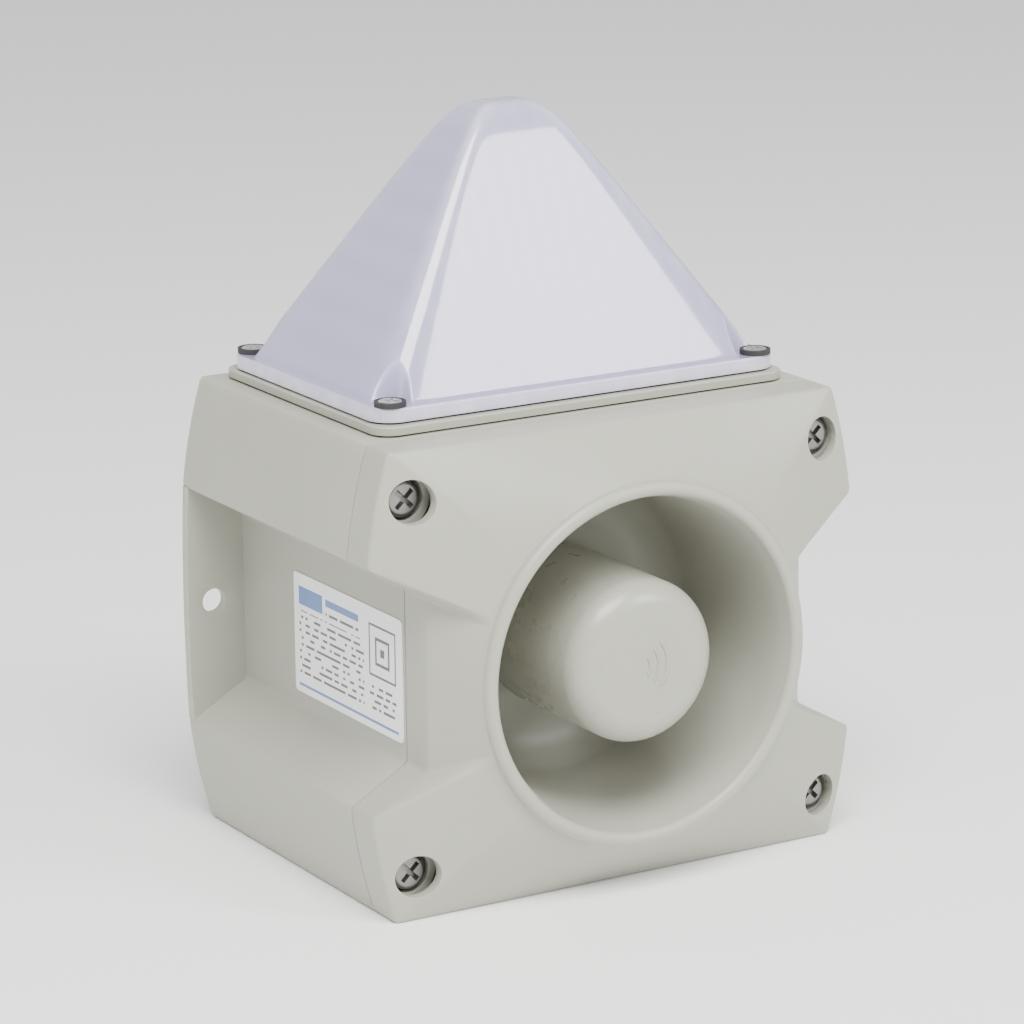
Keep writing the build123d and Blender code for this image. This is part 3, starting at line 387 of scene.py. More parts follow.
def outline_corners(inset):
    """Twelve (x, z) corners clockwise from the top left, each side moved inwards by inset."""
    right = [(HALF_END, HALF_H), (HALF_MID, BLOCK_Z), (HALF_WAIST, WAIST_Z)]
    right += [(x, -z) for x, z in reversed(right)]
    left = [(-x, z) for x, z in reversed(right)]
    points = np.array(left[-1:] + right + left[:-1])
    ahead = np.roll(points, -1, axis=0) - points
    ahead /= np.linalg.norm(ahead, axis=1)[:, None]
    inward = np.stack([ahead[:, 1], -ahead[:, 0]], axis=1)
    before = np.roll(inward, 1, axis=0)
    scale = inset / (1 + (inward * before).sum(axis=1))
    return points + (inward + before) * scale[:, None]


def rim_corner_angles():
    """The twelve angles on the rim that the outline's corners look at, falling clockwise."""
    right = list(RIM_ANGLES) + [-a for a in reversed(RIM_ANGLES)]
    left = [180 - a for a in reversed(right)]
    angles = np.array(left[-1:] + right + left[:-1], dtype=float)
    drop = (angles - np.roll(angles, -1)) % 360
    return angles[0] - np.concatenate([[0], np.cumsum(drop)])


def outline_ring(inset=0.0, rounding=CORNER_ROUND):
    """Points (N, 2) of the outline with rounded corners, and their rim angles (N,) in radians."""
    corners, angles = outline_corners(inset), rim_corner_angles()
    ring, turn = [], []
    for side in range(12):
        start, end = corners[side], corners[(side + 1) % 12]
        length = np.linalg.norm(end - start)
        direction = (end - start) / length
        outward = np.array([-direction[1], direction[0]])
        share = np.linspace(rounding, length - rounding, SIDE_COUNT[side % 6]) / length
        bow = BULGE * 4 * share * (1 - share) if side in SLOPING else 0 * share
        ring.append(start + np.outer(share * length, direction) + np.outer(bow, outward))
        turn.append(angles[side] + (angles[side + 1] - angles[side]) * share)
        after = corners[(side + 2) % 12]
        leave = (after - end) / np.linalg.norm(after - end)
        t = np.linspace(0, 1, 8)[1:-1, None]
        first, last = end - direction * rounding, end + leave * rounding
        ring.append((1 - t) ** 2 * first + 2 * t * (1 - t) * end + t ** 2 * last)
        next_length = np.linalg.norm(after - end)
        next_drop = angles[(side + 1) % 12 + 1] - angles[(side + 1) % 12]
        low = angles[side + 1] - (angles[side + 1] - angles[side]) * rounding / length
        high = angles[side + 1] + next_drop * rounding / next_length
        turn.append(low + (high - low) * t[:, 0])
    return np.concatenate(ring), np.radians(np.concatenate(turn))


RIM_TURN = outline_ring()[1]
print("outline samples", len(RIM_TURN))

# %% [markdown]
# ## Surfaces from rings
# A moulding is drawn here as a stack of closed rings, the way a lathe or a loft would sweep it.
# Each ring lies at one depth in front of the wall, and neighbouring rings are joined by quads.

# %% Ring helpers


def at_depth(points, depth):
    """Turns (x, z) points at a depth in front of the wall into metres in the shared frame."""
    depth = np.broadcast_to(depth, len(points))
    return np.stack([points[:, 0], -depth, points[:, 1]], axis=1) * MM


def outline_row(inset, depth):
    return at_depth(outline_ring(inset)[0], depth)


def circle_row(radius, depth, turn=RIM_TURN):
    return at_depth(np.stack([np.cos(turn), np.sin(turn)], axis=1) * radius, depth)


def between(first, second, share):
    return first + (second - first) * share


def rings_to_mesh(name, rows, loop=False):
    """Joins equal rings into a closed mesh: a loop of rings, or ends closed by one point each."""
    rows = np.array(rows)
    count, around = rows.shape[:2]
    points = rows.reshape(-1, 3)
    index = np.arange(count * around).reshape(count, around)
    step = index if loop else index[:-1]
    ahead = np.roll(index, -1, axis=0) if loop else index[1:]
    quads = np.stack([step, np.roll(step, -1, axis=1), np.roll(ahead, -1, axis=1), ahead], axis=2)
    faces = quads.reshape(-1, 4).tolist()
    if not loop:
        points = np.concatenate([points, rows[0].mean(axis=0)[None], rows[-1].mean(axis=0)[None]])
        low, high = count * around, count * around + 1
        faces += [(low, index[0, (j + 1) % around], index[0, j]) for j in range(around)]
        faces += [(high, index[-1, j], index[-1, (j + 1) % around]) for j in range(around)]
    mesh = bpy.data.meshes.new(name)
    mesh.from_pydata(points.tolist(), [], faces)
    return face_outwards(mesh)


def face_outwards(mesh):
    """Welds double points and turns a closed mesh so that its signed volume is positive."""
    work = bmesh.new()
    work.from_mesh(mesh)
    bmesh.ops.remove_doubles(work, verts=work.verts, dist=1e-7)
    bmesh.ops.dissolve_degenerate(work, edges=work.edges, dist=1e-8)
    if work.calc_volume(signed=True) < 0:
        bmesh.ops.reverse_faces(work, faces=work.faces)
    work.to_mesh(mesh)
    work.free()
    return mesh


def lathe_mesh(name, profile, axis_place, axis="y", around=96):
    """Surface of revolution: profile rows are (radius, height) along the axis, in millimetres."""
    turn = np.linspace(0, 2 * np.pi, around, endpoint=False)
    rows = []
    for radius, height in profile:
        ring = np.stack([np.cos(turn) * radius, np.sin(turn) * radius], axis=1)
        if axis == "y":
            row = np.stack([ring[:, 0] + axis_place[0], np.full(around, -height), ring[:, 1] + axis_place[2]], 1)
        else:
            row = np.stack([ring[:, 0] + axis_place[0], ring[:, 1] + axis_place[1], np.full(around, height)], 1)
        rows.append(row * MM)
    return rings_to_mesh(name, rows)


def rod(name, radius, low, high, place, axis="y"):
    """Plain closed cylinder from low to high along an axis."""
    return lathe_mesh(name, [(radius, low), (radius, high)], place, axis)


def block(name, low, high, rounding=0.0):
    """Upright box or rounded box between two (x, y, z) corners, in millimetres."""
    (x1, y1, z1), (x2, y2, z2) = low, high
    r = max(rounding, 0.01)
    ring = []
    for cx, cy, start in ((x2 - r, y2 - r, 0), (x1 + r, y2 - r, 90), (x1 + r, y1 + r, 180), (x2 - r, y1 + r, 270)):
        t = np.radians(start + np.linspace(0, 90, 9))
        ring.append(np.stack([cx + r * np.cos(t), cy + r * np.sin(t)], axis=1))
    ring = np.concatenate(ring)
    rows = [np.column_stack([ring, np.full(len(ring), z)]) * MM for z in (z1, z2)]
    return rings_to_mesh(name, rows)


def merged(name, meshes):
    """Several meshes in one, with each kept as its own closed shell."""
    work = bmesh.new()
    for mesh in meshes:
        work.from_mesh(mesh)
    result = bpy.data.meshes.new(name)
    work.to_mesh(result)
    work.free()
    return result


def combine(mesh, other, operation):
    """Exact Boolean of two closed meshes, returned as a new mesh."""
    target = bpy.data.objects.new("target", mesh)
    tool = bpy.data.objects.new("tool", other)
    for item in (target, tool):
        bpy.context.scene.collection.objects.link(item)
    modifier = target.modifiers.new("combine", "BOOLEAN")
    modifier.solver = "EXACT"
    modifier.operation = operation
    modifier.object = tool
    ready = target.evaluated_get(bpy.context.evaluated_depsgraph_get())
    result = bpy.data.meshes.new_from_object(ready)
    for item in (target, tool):
        bpy.data.objects.remove(item)
    return result


def soften_edges(mesh, wanted, width, segments=3):
    """Rounds the edges for which wanted(edge) is true by a bevel of the given width in mm."""
    work = bmesh.new()
    work.from_mesh(mesh)
    bmesh.ops.remove_doubles(work, verts=work.verts, dist=2e-6)
    edges = [edge for edge in work.edges if len(edge.link_faces) == 2 and wanted(edge)]
    bmesh.ops.bevel(work, geom=edges, offset=width * MM, segments=segments, profile=0.5, affect="EDGES",
                    clamp_overlap=True)
    work.to_mesh(mesh)
    work.free()
    return len(edges)


def place_piece(name, mesh, material, sharp=35.0):
    """Makes an object of a mesh with smooth shading that breaks at sharp edges."""
    mesh.name = name
    mesh.polygons.foreach_set("use_smooth", [True] * len(mesh.polygons))
    mesh.set_sharp_from_angle(angle=math.radians(sharp))
    mesh.materials.clear()
    mesh.materials.append(material)
    piece = bpy.data.objects.new(name, mesh)
    bpy.context.scene.collection.objects.link(piece)
    print(name, len(mesh.vertices), "vertices")
    return piece


SCREWS = [(sx * 56.9, sz * 45.25) for sx in (-1, 1) for sz in (-1, 1)]

# %% [markdown]
# ## Front cover
# One injection moulding: a straight side, facets that run up to the horn's round lip, and the
# bell that folds back behind the lip. It is drawn as one loop of rings, from the hole in the
# bell's floor over the lip and the facets, round the edge and back along the inside. The four
# screw wells are then cut with exact Booleans, which keeps their rims truly round.

# %% Front cover surface
BASE_D, EDGE_D, RIM_D, MOUTH_D = 84.2, 94.2, 106.9, 108.85
MOUTH_R, RIM_R, BELL_FLOOR, THROAT_R = 40.9, 44.4, 57.0, 6.0
EDGE_R = 0.9


def arc_points(centre, radius, start, stop, count):
    """(radius, depth) points on an arc: r = cr + R cos(t), d = cd + R sin(t), t in degrees."""
    t = np.radians(np.linspace(start, stop, count))
    return [(centre[0] + radius * np.cos(a), centre[1] + radius * np.sin(a)) for a in t]


def front_cover_rows():
    """Rings of the whole cover in order: bell, lip, facets, side, rear edge, inside, seat."""
    bell = [(THROAT_R, BELL_FLOOR), (THROAT_R + 0.4, BELL_FLOOR), (16.0, BELL_FLOOR)]
    bell += arc_points((27.0, 67.5), 10.5, -90, 0, 14)
    bell += [(37.5 + 2.85 * t, 67.5 + 38.0 * t) for t in np.linspace(0.1, 1, 9)]
    lip_mid = (MOUTH_R + RIM_R) / 2
    lip = [(lip_mid - 1.75 * np.cos(t), MOUTH_D - 1.75 + 1.75 * np.sin(t)) for t in np.linspace(0, np.pi, 17)]
    rows = [circle_row(r, d) for r, d in bell + lip]
    rim, edge = circle_row(RIM_R, RIM_D - 0.35), outline_row(0, EDGE_D)
    rows.append(between(rows[-1], rim, 0.9))
    rows += [between(rim, edge, t) for t in (0.012, 0.04, 0.1, 0.2, 0.35, 0.5, 0.65, 0.8, 0.9)]
    run = np.linalg.norm(edge - rim, axis=1)[:, None] / MM
    side = outline_row(0, EDGE_D - EDGE_R)
    start = edge + (rim - edge) / run * EDGE_R
    for t in np.linspace(0, 1, 6):
        rows.append((1 - t) ** 2 * start + 2 * t * (1 - t) * edge + t ** 2 * side)
    rows += [outline_row(0, d) for d in (90.0, 87.0, BASE_D + 0.3)]
    rows += [outline_row(0.3, BASE_D), outline_row(3.3, BASE_D), outline_row(3.3, BASE_D - 3.0)]
    rows += [outline_row(4.7, BASE_D - 3.0), outline_row(4.7, BASE_D), outline_row(3.0, BASE_D)]
    inner_edge, inner_rim = outline_row(3.0, EDGE_D - 1.5), circle_row(43.4, RIM_D - 3.0)
    rows += [outline_row(3.0, 88.0), inner_edge]
    rows += [between(inner_edge, inner_rim, t) for t in (0.35, 0.7, 1.0)]
    back = [(43.0, 101.0), (41.3, 84.0), (40.0, 65.0), (38.0, 61.0), (36.5, 59.0), (36.5, 54.5), (20.0, 54.5)]
    rows += [circle_row(r, d) for r, d in back + [(THROAT_R, 54.5)]]
    return rows


cover_mesh = rings_to_mesh("front_cover_shell", front_cover_rows(), loop=True)
bosses = merged("bosses", [rod("boss", 7.2, BASE_D + 0.05, 92.4, (x, 0, z)) for x, z in SCREWS])
wells = [lathe_mesh("well", [(5.3, 89.2), (5.3, 100.0)], (x, 0, z), around=72) for x, z in SCREWS]
wells += [rod("shank_hole", 2.25, BASE_D - 1, 89.6, (x, 0, z)) for x, z in SCREWS]
clear = [rod("boss_room", 5.6, BASE_D - 4, BASE_D - 0.01, (x, 0, z)) for x, z in SCREWS]
cover_mesh = combine(cover_mesh, bosses, "UNION")
for cutter in (merged("wells", wells[:4]), merged("holes", wells[4:]), merged("room", clear)):
    cover_mesh = combine(cover_mesh, cutter, "DIFFERENCE")


def on_well_mouth(edge):
    """True for the edges where a screw well meets the sloping front."""
    for vert in edge.verts:
        x, depth, z = vert.co.x / MM, -vert.co.y / MM, vert.co.z / MM
        if depth < 92.0 or min(abs(math.hypot(x - a, z - b) - 5.3) for a, b in SCREWS) > 0.03:
            return False
    return edge.calc_face_angle(0) > 0.5


print("softened", soften_edges(cover_mesh, on_well_mouth, 0.35))
front_cover = place_piece("front_cover_surface", cover_mesh, PLASTIC, sharp=28.0)
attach(front_cover, "cover_unit")
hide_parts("front_cover")

# %% [markdown]
# ## Housing
# The rear half is one deep moulding with the same outline. Its back spreads into a thin flange
# that fills the two waists, and a wall screw goes through the flange on each side. The shell is
# drawn as rings; flange, screw bosses and entry pads are added and the holes cut as solids.

# %% Housing surface
HOUSING_D = 83.9
FLANGE_D = 2.4
WALL_HOLES = [(-60.8, 0.0), (60.8, 0.0)]
LENS_MID = -42.35
LENS_SCREWS = [(sx * 51.0, LENS_MID + sy * 34.3) for sx in (-1, 1) for sy in (-1, 1)]
ENTRIES = [(-25.0, -42.0), (25.0, -42.0)]


def housing_rows():
    """Rings from the middle of the back over the wall to the front edge, its groove and the floor."""
    rows = [outline_row(0.35, 0.0), outline_row(0.0, 0.35)]
    rows += [outline_row(0.0, d) for d in (2.0, 20.0, 40.0, 60.0, HOUSING_D - 0.45)]
    rows += [outline_row(0.13, HOUSING_D - 0.13), outline_row(0.45, HOUSING_D), outline_row(0.8, HOUSING_D)]
    rows += [outline_row(0.8, HOUSING_D - 1.2), outline_row(2.2, HOUSING_D - 1.2), outline_row(2.2, HOUSING_D)]
    rows += [outline_row(3.0, HOUSING_D), outline_row(3.0, 40.0), outline_row(3.0, 3.0)]
    return rows


def flange_ring(inset=0.0):
    """(x, z) ring of the flange: blocks' edges joined across the waist by a long flat arc."""
    top = HALF_MID - inset
    reach = 0.7
    z = np.linspace(BLOCK_Z, -BLOCK_Z, 41)
    x = top + reach * (1 - (z / BLOCK_Z) ** 2)
    right = np.column_stack([x, z])
    return np.concatenate([right, -right])


housing_mesh = rings_to_mesh("housing_shell", housing_rows())
flange = rings_to_mesh("flange", [at_depth(flange_ring(0.3), 0.02), at_depth(flange_ring(), 0.32),
                                  at_depth(flange_ring(), FLANGE_D - 0.3), at_depth(flange_ring(0.3), FLANGE_D)])
added = merged("bosses", [rod("boss", 5.0, 2.0, HOUSING_D - 0.02, (x, 0, z)) for x, z in SCREWS])
pads = merged("pads", [rod("pad", 15.0, -56.0, -51.0, (x, y, 0), "z") for x, y in ENTRIES])
for tool, way in ((flange, "UNION"), (added, "UNION"), (pads, "UNION")):
    housing_mesh = combine(housing_mesh, tool, way)
cuts = [rod("wall_hole", 3.1, -1.0, 4.0, (x, 0, z)) for x, z in WALL_HOLES]
cuts += [rod("insert_hole", 3.0, HOUSING_D - 8.0, HOUSING_D + 1, (x, 0, z)) for x, z in SCREWS]
cuts += [rod("entry", 10.1, -58.0, -50.0, (x, y, 0), "z") for x, y in ENTRIES]
cuts += [rod("foot_hole", 4.2, 53.0, 58.0, (x, y, 0), "z") for x, y in LENS_SCREWS]
cuts += [block("skirt_hole", (-40.0, LENS_MID - 25.0, 53.0), (40.0, LENS_MID + 25.0, 58.0), 5.0)]
housing_mesh = combine(housing_mesh, merged("cuts", cuts), "DIFFERENCE")


def on_wall_hole(edge):
    """True for the rim of a wall-screw hole on the flange's front."""
    return all(abs(-v.co.y / MM - FLANGE_D) < 0.02
               and min(abs(math.hypot(v.co.x / MM - a, v.co.z / MM) - 3.1) for a, b in WALL_HOLES) < 0.03
               for v in edge.verts)


print("softened", soften_edges(housing_mesh, on_wall_hole, 0.3))
housing = place_piece("housing_surface", housing_mesh, PLASTIC, sharp=28.0)
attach(housing, "base")
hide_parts("housing_back", "housing_top", "housing_bottom", "housing_left_side",
            "housing_right_side")

# %% [markdown]
# ## Horn cap
# A turned-looking cup that folds the horn's sound path back. Its front has a full rounding that
# catches the light. Three short arcs stand a little proud of it as a plain sound-wave sign.

# %% Horn cap surface
CAP_R, CAP_FRONT, CAP_REAR, CAP_ROUND, CAP_WALL = 20.0, 108.3, 66.0, 6.5, 2.0


def cap_profile():
    """(radius, depth) from the middle of the front over the rounding, down the side and back inside."""
    outer = [(0.4, CAP_FRONT), (7.0, CAP_FRONT), (11.5, CAP_FRONT)]
    outer += arc_points((CAP_R - CAP_ROUND, CAP_FRONT - CAP_ROUND), CAP_ROUND, 90, 0, 20)
    outer += [(CAP_R, 90.0), (CAP_R, 75.0), (CAP_R, CAP_REAR + 0.4), (CAP_R - 0.4, CAP_REAR)]
    inner_r, inner_round = CAP_R - CAP_WALL, CAP_ROUND - CAP_WALL
    inner = [(inner_r + 0.4, CAP_REAR), (inner_r, CAP_REAR + 0.4)]
    inner += arc_points((inner_r - inner_round, CAP_FRONT - CAP_WALL - inner_round), inner_round, 0, 90, 12)
    return outer + inner + [(0.4, CAP_FRONT - CAP_WALL)]


def wave_arc(radius, half_angle, width=0.9, height=0.4):
    """A raised arc with rounded cross-section on the cap's face, opening to the right."""
    t = np.radians(np.linspace(-half_angle, half_angle, 41))
    section = np.radians(np.linspace(0, 360, 13)[:-1])
    rows = []
    for share, a in zip(np.linspace(0, 1, len(t)), t):
        end = max(0.05, min(1.0, 12 * share, 12 * (1 - share))) ** 0.5
        r = radius + width / 2 * end * np.cos(section)
        d = CAP_FRONT + height * end * np.sin(section)
        rows.append(np.stack([r * np.cos(a) - 3.2, -d, r * np.sin(a)], axis=1) * MM)
    return rings_to_mesh("wave_arc", rows)


sign = [wave_arc(r, 42.0) for r in (3.6, 6.0, 8.4)]
cap_mesh = lathe_mesh("cap", cap_profile(), (0, 0, 0), around=160)
cap = place_piece("horn_cap_surface", merged("cap_with_sign", [cap_mesh] + sign), CAP_PLASTIC, sharp=40.0)
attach(cap, "cover_unit")
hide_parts("reflex_cap")

# %% [markdown]
# ## Lens
# A milky pyramid moulded with a flat flange. The outside is a height surface: four sloping
# planes joined by a fourth-power norm, so that the ridges are round and the top is blunt. Each
# corner has a niche above its screw, an upside-down cone blended in by a smooth minimum.

# %% Lens surface
LENS_HALF = (56.0, 38.25)
LENS_ROUND, FLANGE_TOP, FLANGE_BOTTOM = 6.5, 63.3, 60.0
SLOPE_X, SLOPE_Y, LENS_TIP, LENS_TOP = 0.693, 0.4545, 141.0, 126.0
NICHE = (51.0, 34.3)
NICHE_R, NICHE_DRAFT = 5.4, 0.23


def graded(half, fine_from, coarse, fine, edge=0.5):
    """Places from -half to half: coarse steps in the middle, fine steps outside fine_from."""
    middle = np.linspace(0, fine_from, int(fine_from / coarse) + 1)
    outer = np.linspace(fine_from, half - edge, int((half - edge - fine_from) / fine) + 1)[1:]
    rim = half - edge + edge * np.sin(np.linspace(0, np.pi / 2, 7))[1:]
    side = np.concatenate([middle, outer, rim])
    return np.concatenate([-side[:0:-1], side])


def rounded_plan(x, y):
    """Squeezes a rectangle's four corner squares into quarter discs of radius LENS_ROUND."""
    cx, cy = LENS_HALF[0] - LENS_ROUND, LENS_HALF[1] - LENS_ROUND
    u = np.clip((np.abs(x) - cx) / LENS_ROUND, 0, 1)
    v = np.clip((np.abs(y) - cy) / LENS_ROUND, 0, 1)
    px = np.where(u * v > 0, cx + LENS_ROUND * u * np.sqrt(1 - v ** 2 / 2), np.abs(x))
    py = np.where(u * v > 0, cy + LENS_ROUND * v * np.sqrt(1 - u ** 2 / 2), np.abs(y))
    return np.sign(x) * px, np.sign(y) * py


def edge_distance(x, y):
    """Distance of a point inside the rounded flange from its edge."""
    qx = np.abs(x) - (LENS_HALF[0] - LENS_ROUND)
    qy = np.abs(y) - (LENS_HALF[1] - LENS_ROUND)
    out = np.hypot(np.maximum(qx, 0), np.maximum(qy, 0)) + np.minimum(np.maximum(qx, qy), 0)
    return LENS_ROUND - out


def smooth_min(a, b, k):
    """Minimum of two heights with a blend of size k: min(a, b) - k h^3 / 6, h = max(k - |a - b|, 0) / k."""
    h = np.maximum(k - np.abs(a - b), 0) / k
    return np.minimum(a, b) - h ** 3 * k / 6


def pyramid_height(x, y, tip, top, sharpness=12.0):
    """z = tip - (m^4 + c^4)^(1/4), m the p-norm of |x| / kx and |y| / ky, c = tip - top."""
    m = ((np.abs(x) / SLOPE_X) ** sharpness + (np.abs(y) / SLOPE_Y) ** sharpness) ** (1 / sharpness)
    return tip - (m ** 4 + (tip - top) ** 4) ** 0.25


def niche_height(x, y, grow):
    """Height of the cone-shaped niche wall around the nearest screw, widened by grow."""
    reach = np.hypot(np.abs(x) - NICHE[0], np.abs(y) - NICHE[1])
    return FLANGE_TOP + (reach - NICHE_R - grow) / NICHE_DRAFT


def lens_outside(x, y):
    height = smooth_min(pyramid_height(x, y, LENS_TIP, LENS_TOP), niche_height(x, y, 0.0), 1.1)
    height = -smooth_min(-height, np.full_like(x, -FLANGE_TOP), 0.9)
    drop = np.clip(0.5 - edge_distance(x, y), 0, 0.5)
    return height - (0.5 - np.sqrt(0.25 - drop ** 2))


def lens_inside(x, y):
    height = np.minimum(pyramid_height(x, y, LENS_TIP - 5.0, LENS_TOP - 2.5), niche_height(x, y, 2.0))
    return np.maximum(height, FLANGE_BOTTOM)


def lens_mesh():
    """The two height surfaces on one rounded plan, joined round the flange's edge."""
    gx = graded(LENS_HALF[0], 41.0, 1.1, 0.24)
    gy = graded(LENS_HALF[1], 26.0, 0.9, 0.24)
    x, y = rounded_plan(*np.meshgrid(gx, gy, indexing="ij"))
    rows, columns = x.shape
    z_top, z_low = lens_outside(x, y), lens_inside(x, y)
    top = np.stack([x, y + LENS_MID, z_top], axis=2).reshape(-1, 3)
    low = np.stack([x, y + LENS_MID, z_low], axis=2).reshape(-1, 3)
    index = np.arange(rows * columns).reshape(rows, columns)
    quads = np.stack([index[:-1, :-1], index[1:, :-1], index[1:, 1:], index[:-1, 1:]], 2).reshape(-1, 4)
    border = np.concatenate([index[:, 0], index[-1, 1:], index[-2::-1, -1], index[0, -2:0:-1]])
    count = rows * columns
    ahead = np.roll(border, -1)
    side = np.stack([border + count, ahead + count, ahead, border], axis=1)
    faces = np.concatenate([quads, quads[:, ::-1] + count, side])
    mesh = bpy.data.meshes.new("lens_surface")
    mesh.from_pydata((np.concatenate([top, low]) * MM).tolist(), [], faces.tolist())
    return face_outwards(mesh)


# %% Lens material


def make_lens_material():
    """Milky polycarbonate: scattering body, glossy skin, faint upright prism ribs behind the faces, painted
    near-white highlight on the convex edges.
    """
    material, nodes, links, shader = new_material("lens_plastic")
    place = nodes.new("ShaderNodeTexCoord")
    ribs = add_node(nodes, "ShaderNodeTexWave", wave_type="BANDS", bands_direction="X", Scale=55.0,
                    Distortion=0.6, Detail=1.0)
    links.new(place.outputs["Object"], ribs.inputs["Vector"])
    grain = use_group(nodes, GRAIN, Grain_Size=0.0012, Cloud_Size=0.05)
    tint = blend_colour(nodes, links, grain.outputs["Cloud"], (0.37, 0.35, 0.54), (0.43, 0.41, 0.60))
    tint = blend_colour(nodes, links, ribs.outputs["Fac"], tint, (0.31, 0.30, 0.50), 0.22)
    # Painted highlight: the edge mask lifts the lens's ridges, flange edge and top rim towards near white.
    edges = use_group(nodes, EDGES, Reach=0.05)
    tint = blend_colour(nodes, links, edges.outputs["Mask"], tint, (0.93, 0.94, 1.0), 0.7)
    links.new(tint, shader.inputs["Base Color"])
    shader.inputs["Subsurface Weight"].default_value = 0.35
    shader.inputs["Subsurface Radius"].default_value = (0.012, 0.012, 0.014)
    shader.inputs["Subsurface Scale"].default_value = 1.0
    shader.inputs["Roughness"].default_value = 0.16
    shader.inputs["Coat Weight"].default_value = 1.0
    shader.inputs["Coat Roughness"].default_value = 0.05
    bump = add_node(nodes, "ShaderNodeBump", Strength=0.08, Distance=0.0002)
    links.new(grain.outputs["Cloud"], bump.inputs["Height"])
    links.new(bump.outputs["Normal"], shader.inputs["Normal"])
    return material


LENS = make_lens_material()
lens = place_piece("lens_surface", lens_mesh(), LENS, sharp=50.0)
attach(lens, "lens_unit")
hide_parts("lens")

# %% Screws and cup seals of the lens, drawn low in their niches
HEAD_SHARE = 0.45


def lowered_copy(node):
    """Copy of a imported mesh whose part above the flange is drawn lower: z' = top + (z - top) * share."""
    work = bmesh.new()
    work.from_mesh(frame["nodes"][node].data)
    bmesh.ops.remove_doubles(work, verts=work.verts, dist=1e-6)
    top = FLANGE_TOP * MM
    for vert in work.verts:
        if vert.co.z > top:
            vert.co.z = top + (vert.co.z - top) * HEAD_SHARE
    mesh = bpy.data.meshes.new(node + "_low")
    work.to_mesh(mesh)
    work.free()
    return mesh


for node, finish in (("lens_screws", BRIGHT_STEEL), ("lens_screw_seals", RUBBER)):
    piece = place_piece(node + "_low", lowered_copy(node), finish, sharp=35.0)
    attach(piece, "lens_unit")
    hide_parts(node)

# %% [markdown]
# ## Type label
# A white glossy film on the left wall of the waist. It is printed with a plain heading block,
# rows of short bars, nested squares and a rule at the foot. The print is worked out from object
# coordinates: U runs forward from the wall and V runs up.

# %% Print groups


def make_box_mask():
    """Mask of a rectangle in U = -Y and V = Z, with its four limits in metres."""
    group, nodes, inside, outside = group_with(
        "print_box", [("Low U", 0.0), ("High U", 0.1), ("Low V", 0.0), ("High V", 0.1)], ["Mask"])
    links = group.links
    place = nodes.new("ShaderNodeTexCoord")
    split = nodes.new("ShaderNodeSeparateXYZ")
    links.new(place.outputs["Object"], split.inputs[0])
    along = add_node(nodes, "ShaderNodeMath", operation="MULTIPLY")
    along.inputs[1].default_value = -1.0
    links.new(split.outputs["Y"], along.inputs[0])
    result = None
    limits = [(along.outputs[0], "Low U", "GREATER_THAN"), (along.outputs[0], "High U", "LESS_THAN"),
              (split.outputs["Z"], "Low V", "GREATER_THAN"), (split.outputs["Z"], "High V", "LESS_THAN")]
    for value, limit, way in limits:
        test = add_node(nodes, "ShaderNodeMath", operation=way)
        links.new(value, test.inputs[0])
        links.new(inside.outputs[limit], test.inputs[1])
        if result is not None:
            both = add_node(nodes, "ShaderNodeMath", operation="MULTIPLY")
            links.new(result, both.inputs[0])
            links.new(test.outputs[0], both.inputs[1])
            test = both
        result = test.outputs[0]
    links.new(result, outside.inputs["Mask"])
    return group


def make_line_mask():
    """Mask of rows of short bars: a row where frac(V / pitch) is small, broken into bars by cells of noise."""
    group, nodes, inside, outside = group_with("print_lines", [("Pitch", 0.0016), ("Ink", 0.4), ("Fill", 0.62)],
                                               ["Mask"])
    links = group.links
    place = nodes.new("ShaderNodeTexCoord")
    split = nodes.new("ShaderNodeSeparateXYZ")
    links.new(place.outputs["Object"], split.inputs[0])
    row = add_node(nodes, "ShaderNodeMath", operation="DIVIDE")
    links.new(split.outputs["Z"], row.inputs[0])
    links.new(inside.outputs["Pitch"], row.inputs[1])
    part = add_node(nodes, "ShaderNodeMath", operation="FRACT")
    links.new(row.outputs[0], part.inputs[0])
    inked = add_node(nodes, "ShaderNodeMath", operation="LESS_THAN")
    links.new(part.outputs[0], inked.inputs[0])
    links.new(inside.outputs["Ink"], inked.inputs[1])
    number = add_node(nodes, "ShaderNodeMath", operation="FLOOR")
    links.new(row.outputs[0], number.inputs[0])
    cell = add_node(nodes, "ShaderNodeMath", operation="DIVIDE")
    cell.inputs[1].default_value = 0.0011
    links.new(split.outputs["Y"], cell.inputs[0])
    step = add_node(nodes, "ShaderNodeMath", operation="FLOOR")
    links.new(cell.outputs[0], step.inputs[0])
    joined = nodes.new("ShaderNodeCombineXYZ")
    links.new(step.outputs[0], joined.inputs["X"])
    links.new(number.outputs[0], joined.inputs["Y"])
    noise = nodes.new("ShaderNodeTexWhiteNoise")
    noise.noise_dimensions = "2D"
    links.new(joined.outputs[0], noise.inputs["Vector"])
    bars = add_node(nodes, "ShaderNodeMath", operation="LESS_THAN")
    links.new(noise.outputs["Value"], bars.inputs[0])
    links.new(inside.outputs["Fill"], bars.inputs[1])
    both = add_node(nodes, "ShaderNodeMath", operation="MULTIPLY")
    links.new(inked.outputs[0], both.inputs[0])
    links.new(bars.outputs[0], both.inputs[1])
    links.new(both.outputs[0], outside.inputs["Mask"])
    return group


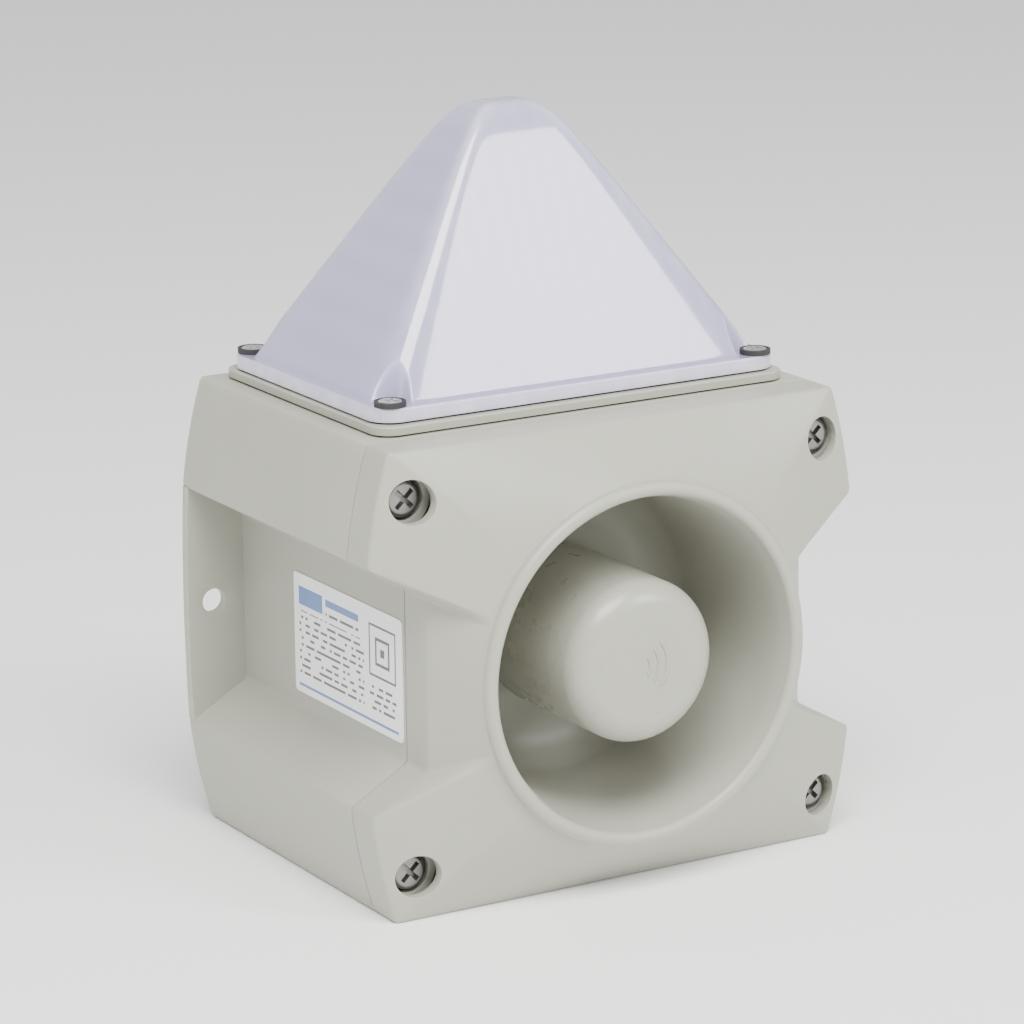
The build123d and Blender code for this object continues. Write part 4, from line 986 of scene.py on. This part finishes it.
BOX_MASK, LINE_MASK = make_box_mask(), make_line_mask()
INK, BLUE = (0.035, 0.035, 0.04), (0.05, 0.16, 0.42)
PRINTED_BOXES = [
    (32.0, 44.0, 5.2, 9.8, BLUE), (45.5, 62.0, 7.6, 9.4, BLUE), (31.5, 81.0, -15.6, -14.9, BLUE),
    (67.0, 80.0, -4.0, 9.0, INK), (67.6, 79.4, -3.4, 8.4, (0.9, 0.9, 0.9)), (70.0, 77.0, -1.0, 6.0, INK),
    (70.8, 76.2, -0.2, 5.2, (0.9, 0.9, 0.9)), (72.5, 74.5, 1.5, 3.5, INK)]
PRINTED_LINES = [(32.0, 64.5, -12.8, 3.8, 1.75, 0.38, 0.66), (45.5, 62.0, 5.0, 6.6, 1.75, 0.4, 0.7),
                 (67.0, 80.0, -12.8, -5.6, 1.75, 0.4, 0.6)]


def make_label_material():
    material, nodes, links, shader = new_material("label_film")
    grain = use_group(nodes, GRAIN, Grain_Size=0.001, Cloud_Size=0.02)
    tint = blend_colour(nodes, links, grain.outputs["Cloud"], (0.86, 0.87, 0.86), (0.90, 0.91, 0.90))
    for low_u, high_u, low_v, high_v, colour in PRINTED_BOXES:
        mask = use_group(nodes, BOX_MASK, Low_U=low_u * MM, High_U=high_u * MM, Low_V=low_v * MM,
                         High_V=high_v * MM)
        tint = blend_colour(nodes, links, mask.outputs["Mask"], tint, colour)
    for low_u, high_u, low_v, high_v, pitch, ink, fill in PRINTED_LINES:
        mask = use_group(nodes, BOX_MASK, Low_U=low_u * MM, High_U=high_u * MM, Low_V=low_v * MM,
                         High_V=high_v * MM)
        lines = use_group(nodes, LINE_MASK, Pitch=pitch * MM, Ink=ink, Fill=fill)
        both = add_node(nodes, "ShaderNodeMath", operation="MULTIPLY")
        links.new(mask.outputs["Mask"], both.inputs[0])
        links.new(lines.outputs["Mask"], both.inputs[1])
        tint = blend_colour(nodes, links, both.outputs[0], tint, INK)
    links.new(tint, shader.inputs["Base Color"])
    shader.inputs["Roughness"].default_value = 0.28
    shader.inputs["Coat Weight"].default_value = 0.5
    shader.inputs["Coat Roughness"].default_value = 0.12
    return material


LABEL = make_label_material()

# %% [markdown]
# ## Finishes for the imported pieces
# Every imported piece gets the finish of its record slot. The small parts inside the housing are
# turned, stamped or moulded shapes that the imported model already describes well.

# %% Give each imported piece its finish
FINISHES = {
    "housing_plastic": PLASTIC, "seal_rubber": RUBBER, "dark_steel": DARK_STEEL, "bright_steel": BRIGHT_STEEL,
    "brass": BRASS, "label_film": LABEL, "dark_plastic": BLACK_PLASTIC, "lens_plastic": LENS,
    "board_laminate": LAMINATE, "led_phosphor": PHOSPHOR, "white_plastic": WHITE_PLASTIC,
    "lead_jacket": JACKET, "terminal_green": GREEN_PLASTIC, "switch_blue": BLUE_PLASTIC,
    "capacitor_sleeve": SLEEVE, "ferrite": FERRITE, "chip_resin": RESIN, "diaphragm_film": FILM,
    "copper_wire": COPPER, "plated_steel": PLATED}
for part in frame["record"]["subparts"]:
    mesh = frame["nodes"][part["node"]].data
    mesh.materials.clear()
    mesh.materials.append(FINISHES[part["material_slot"]])
print("finishes", len(FINISHES))
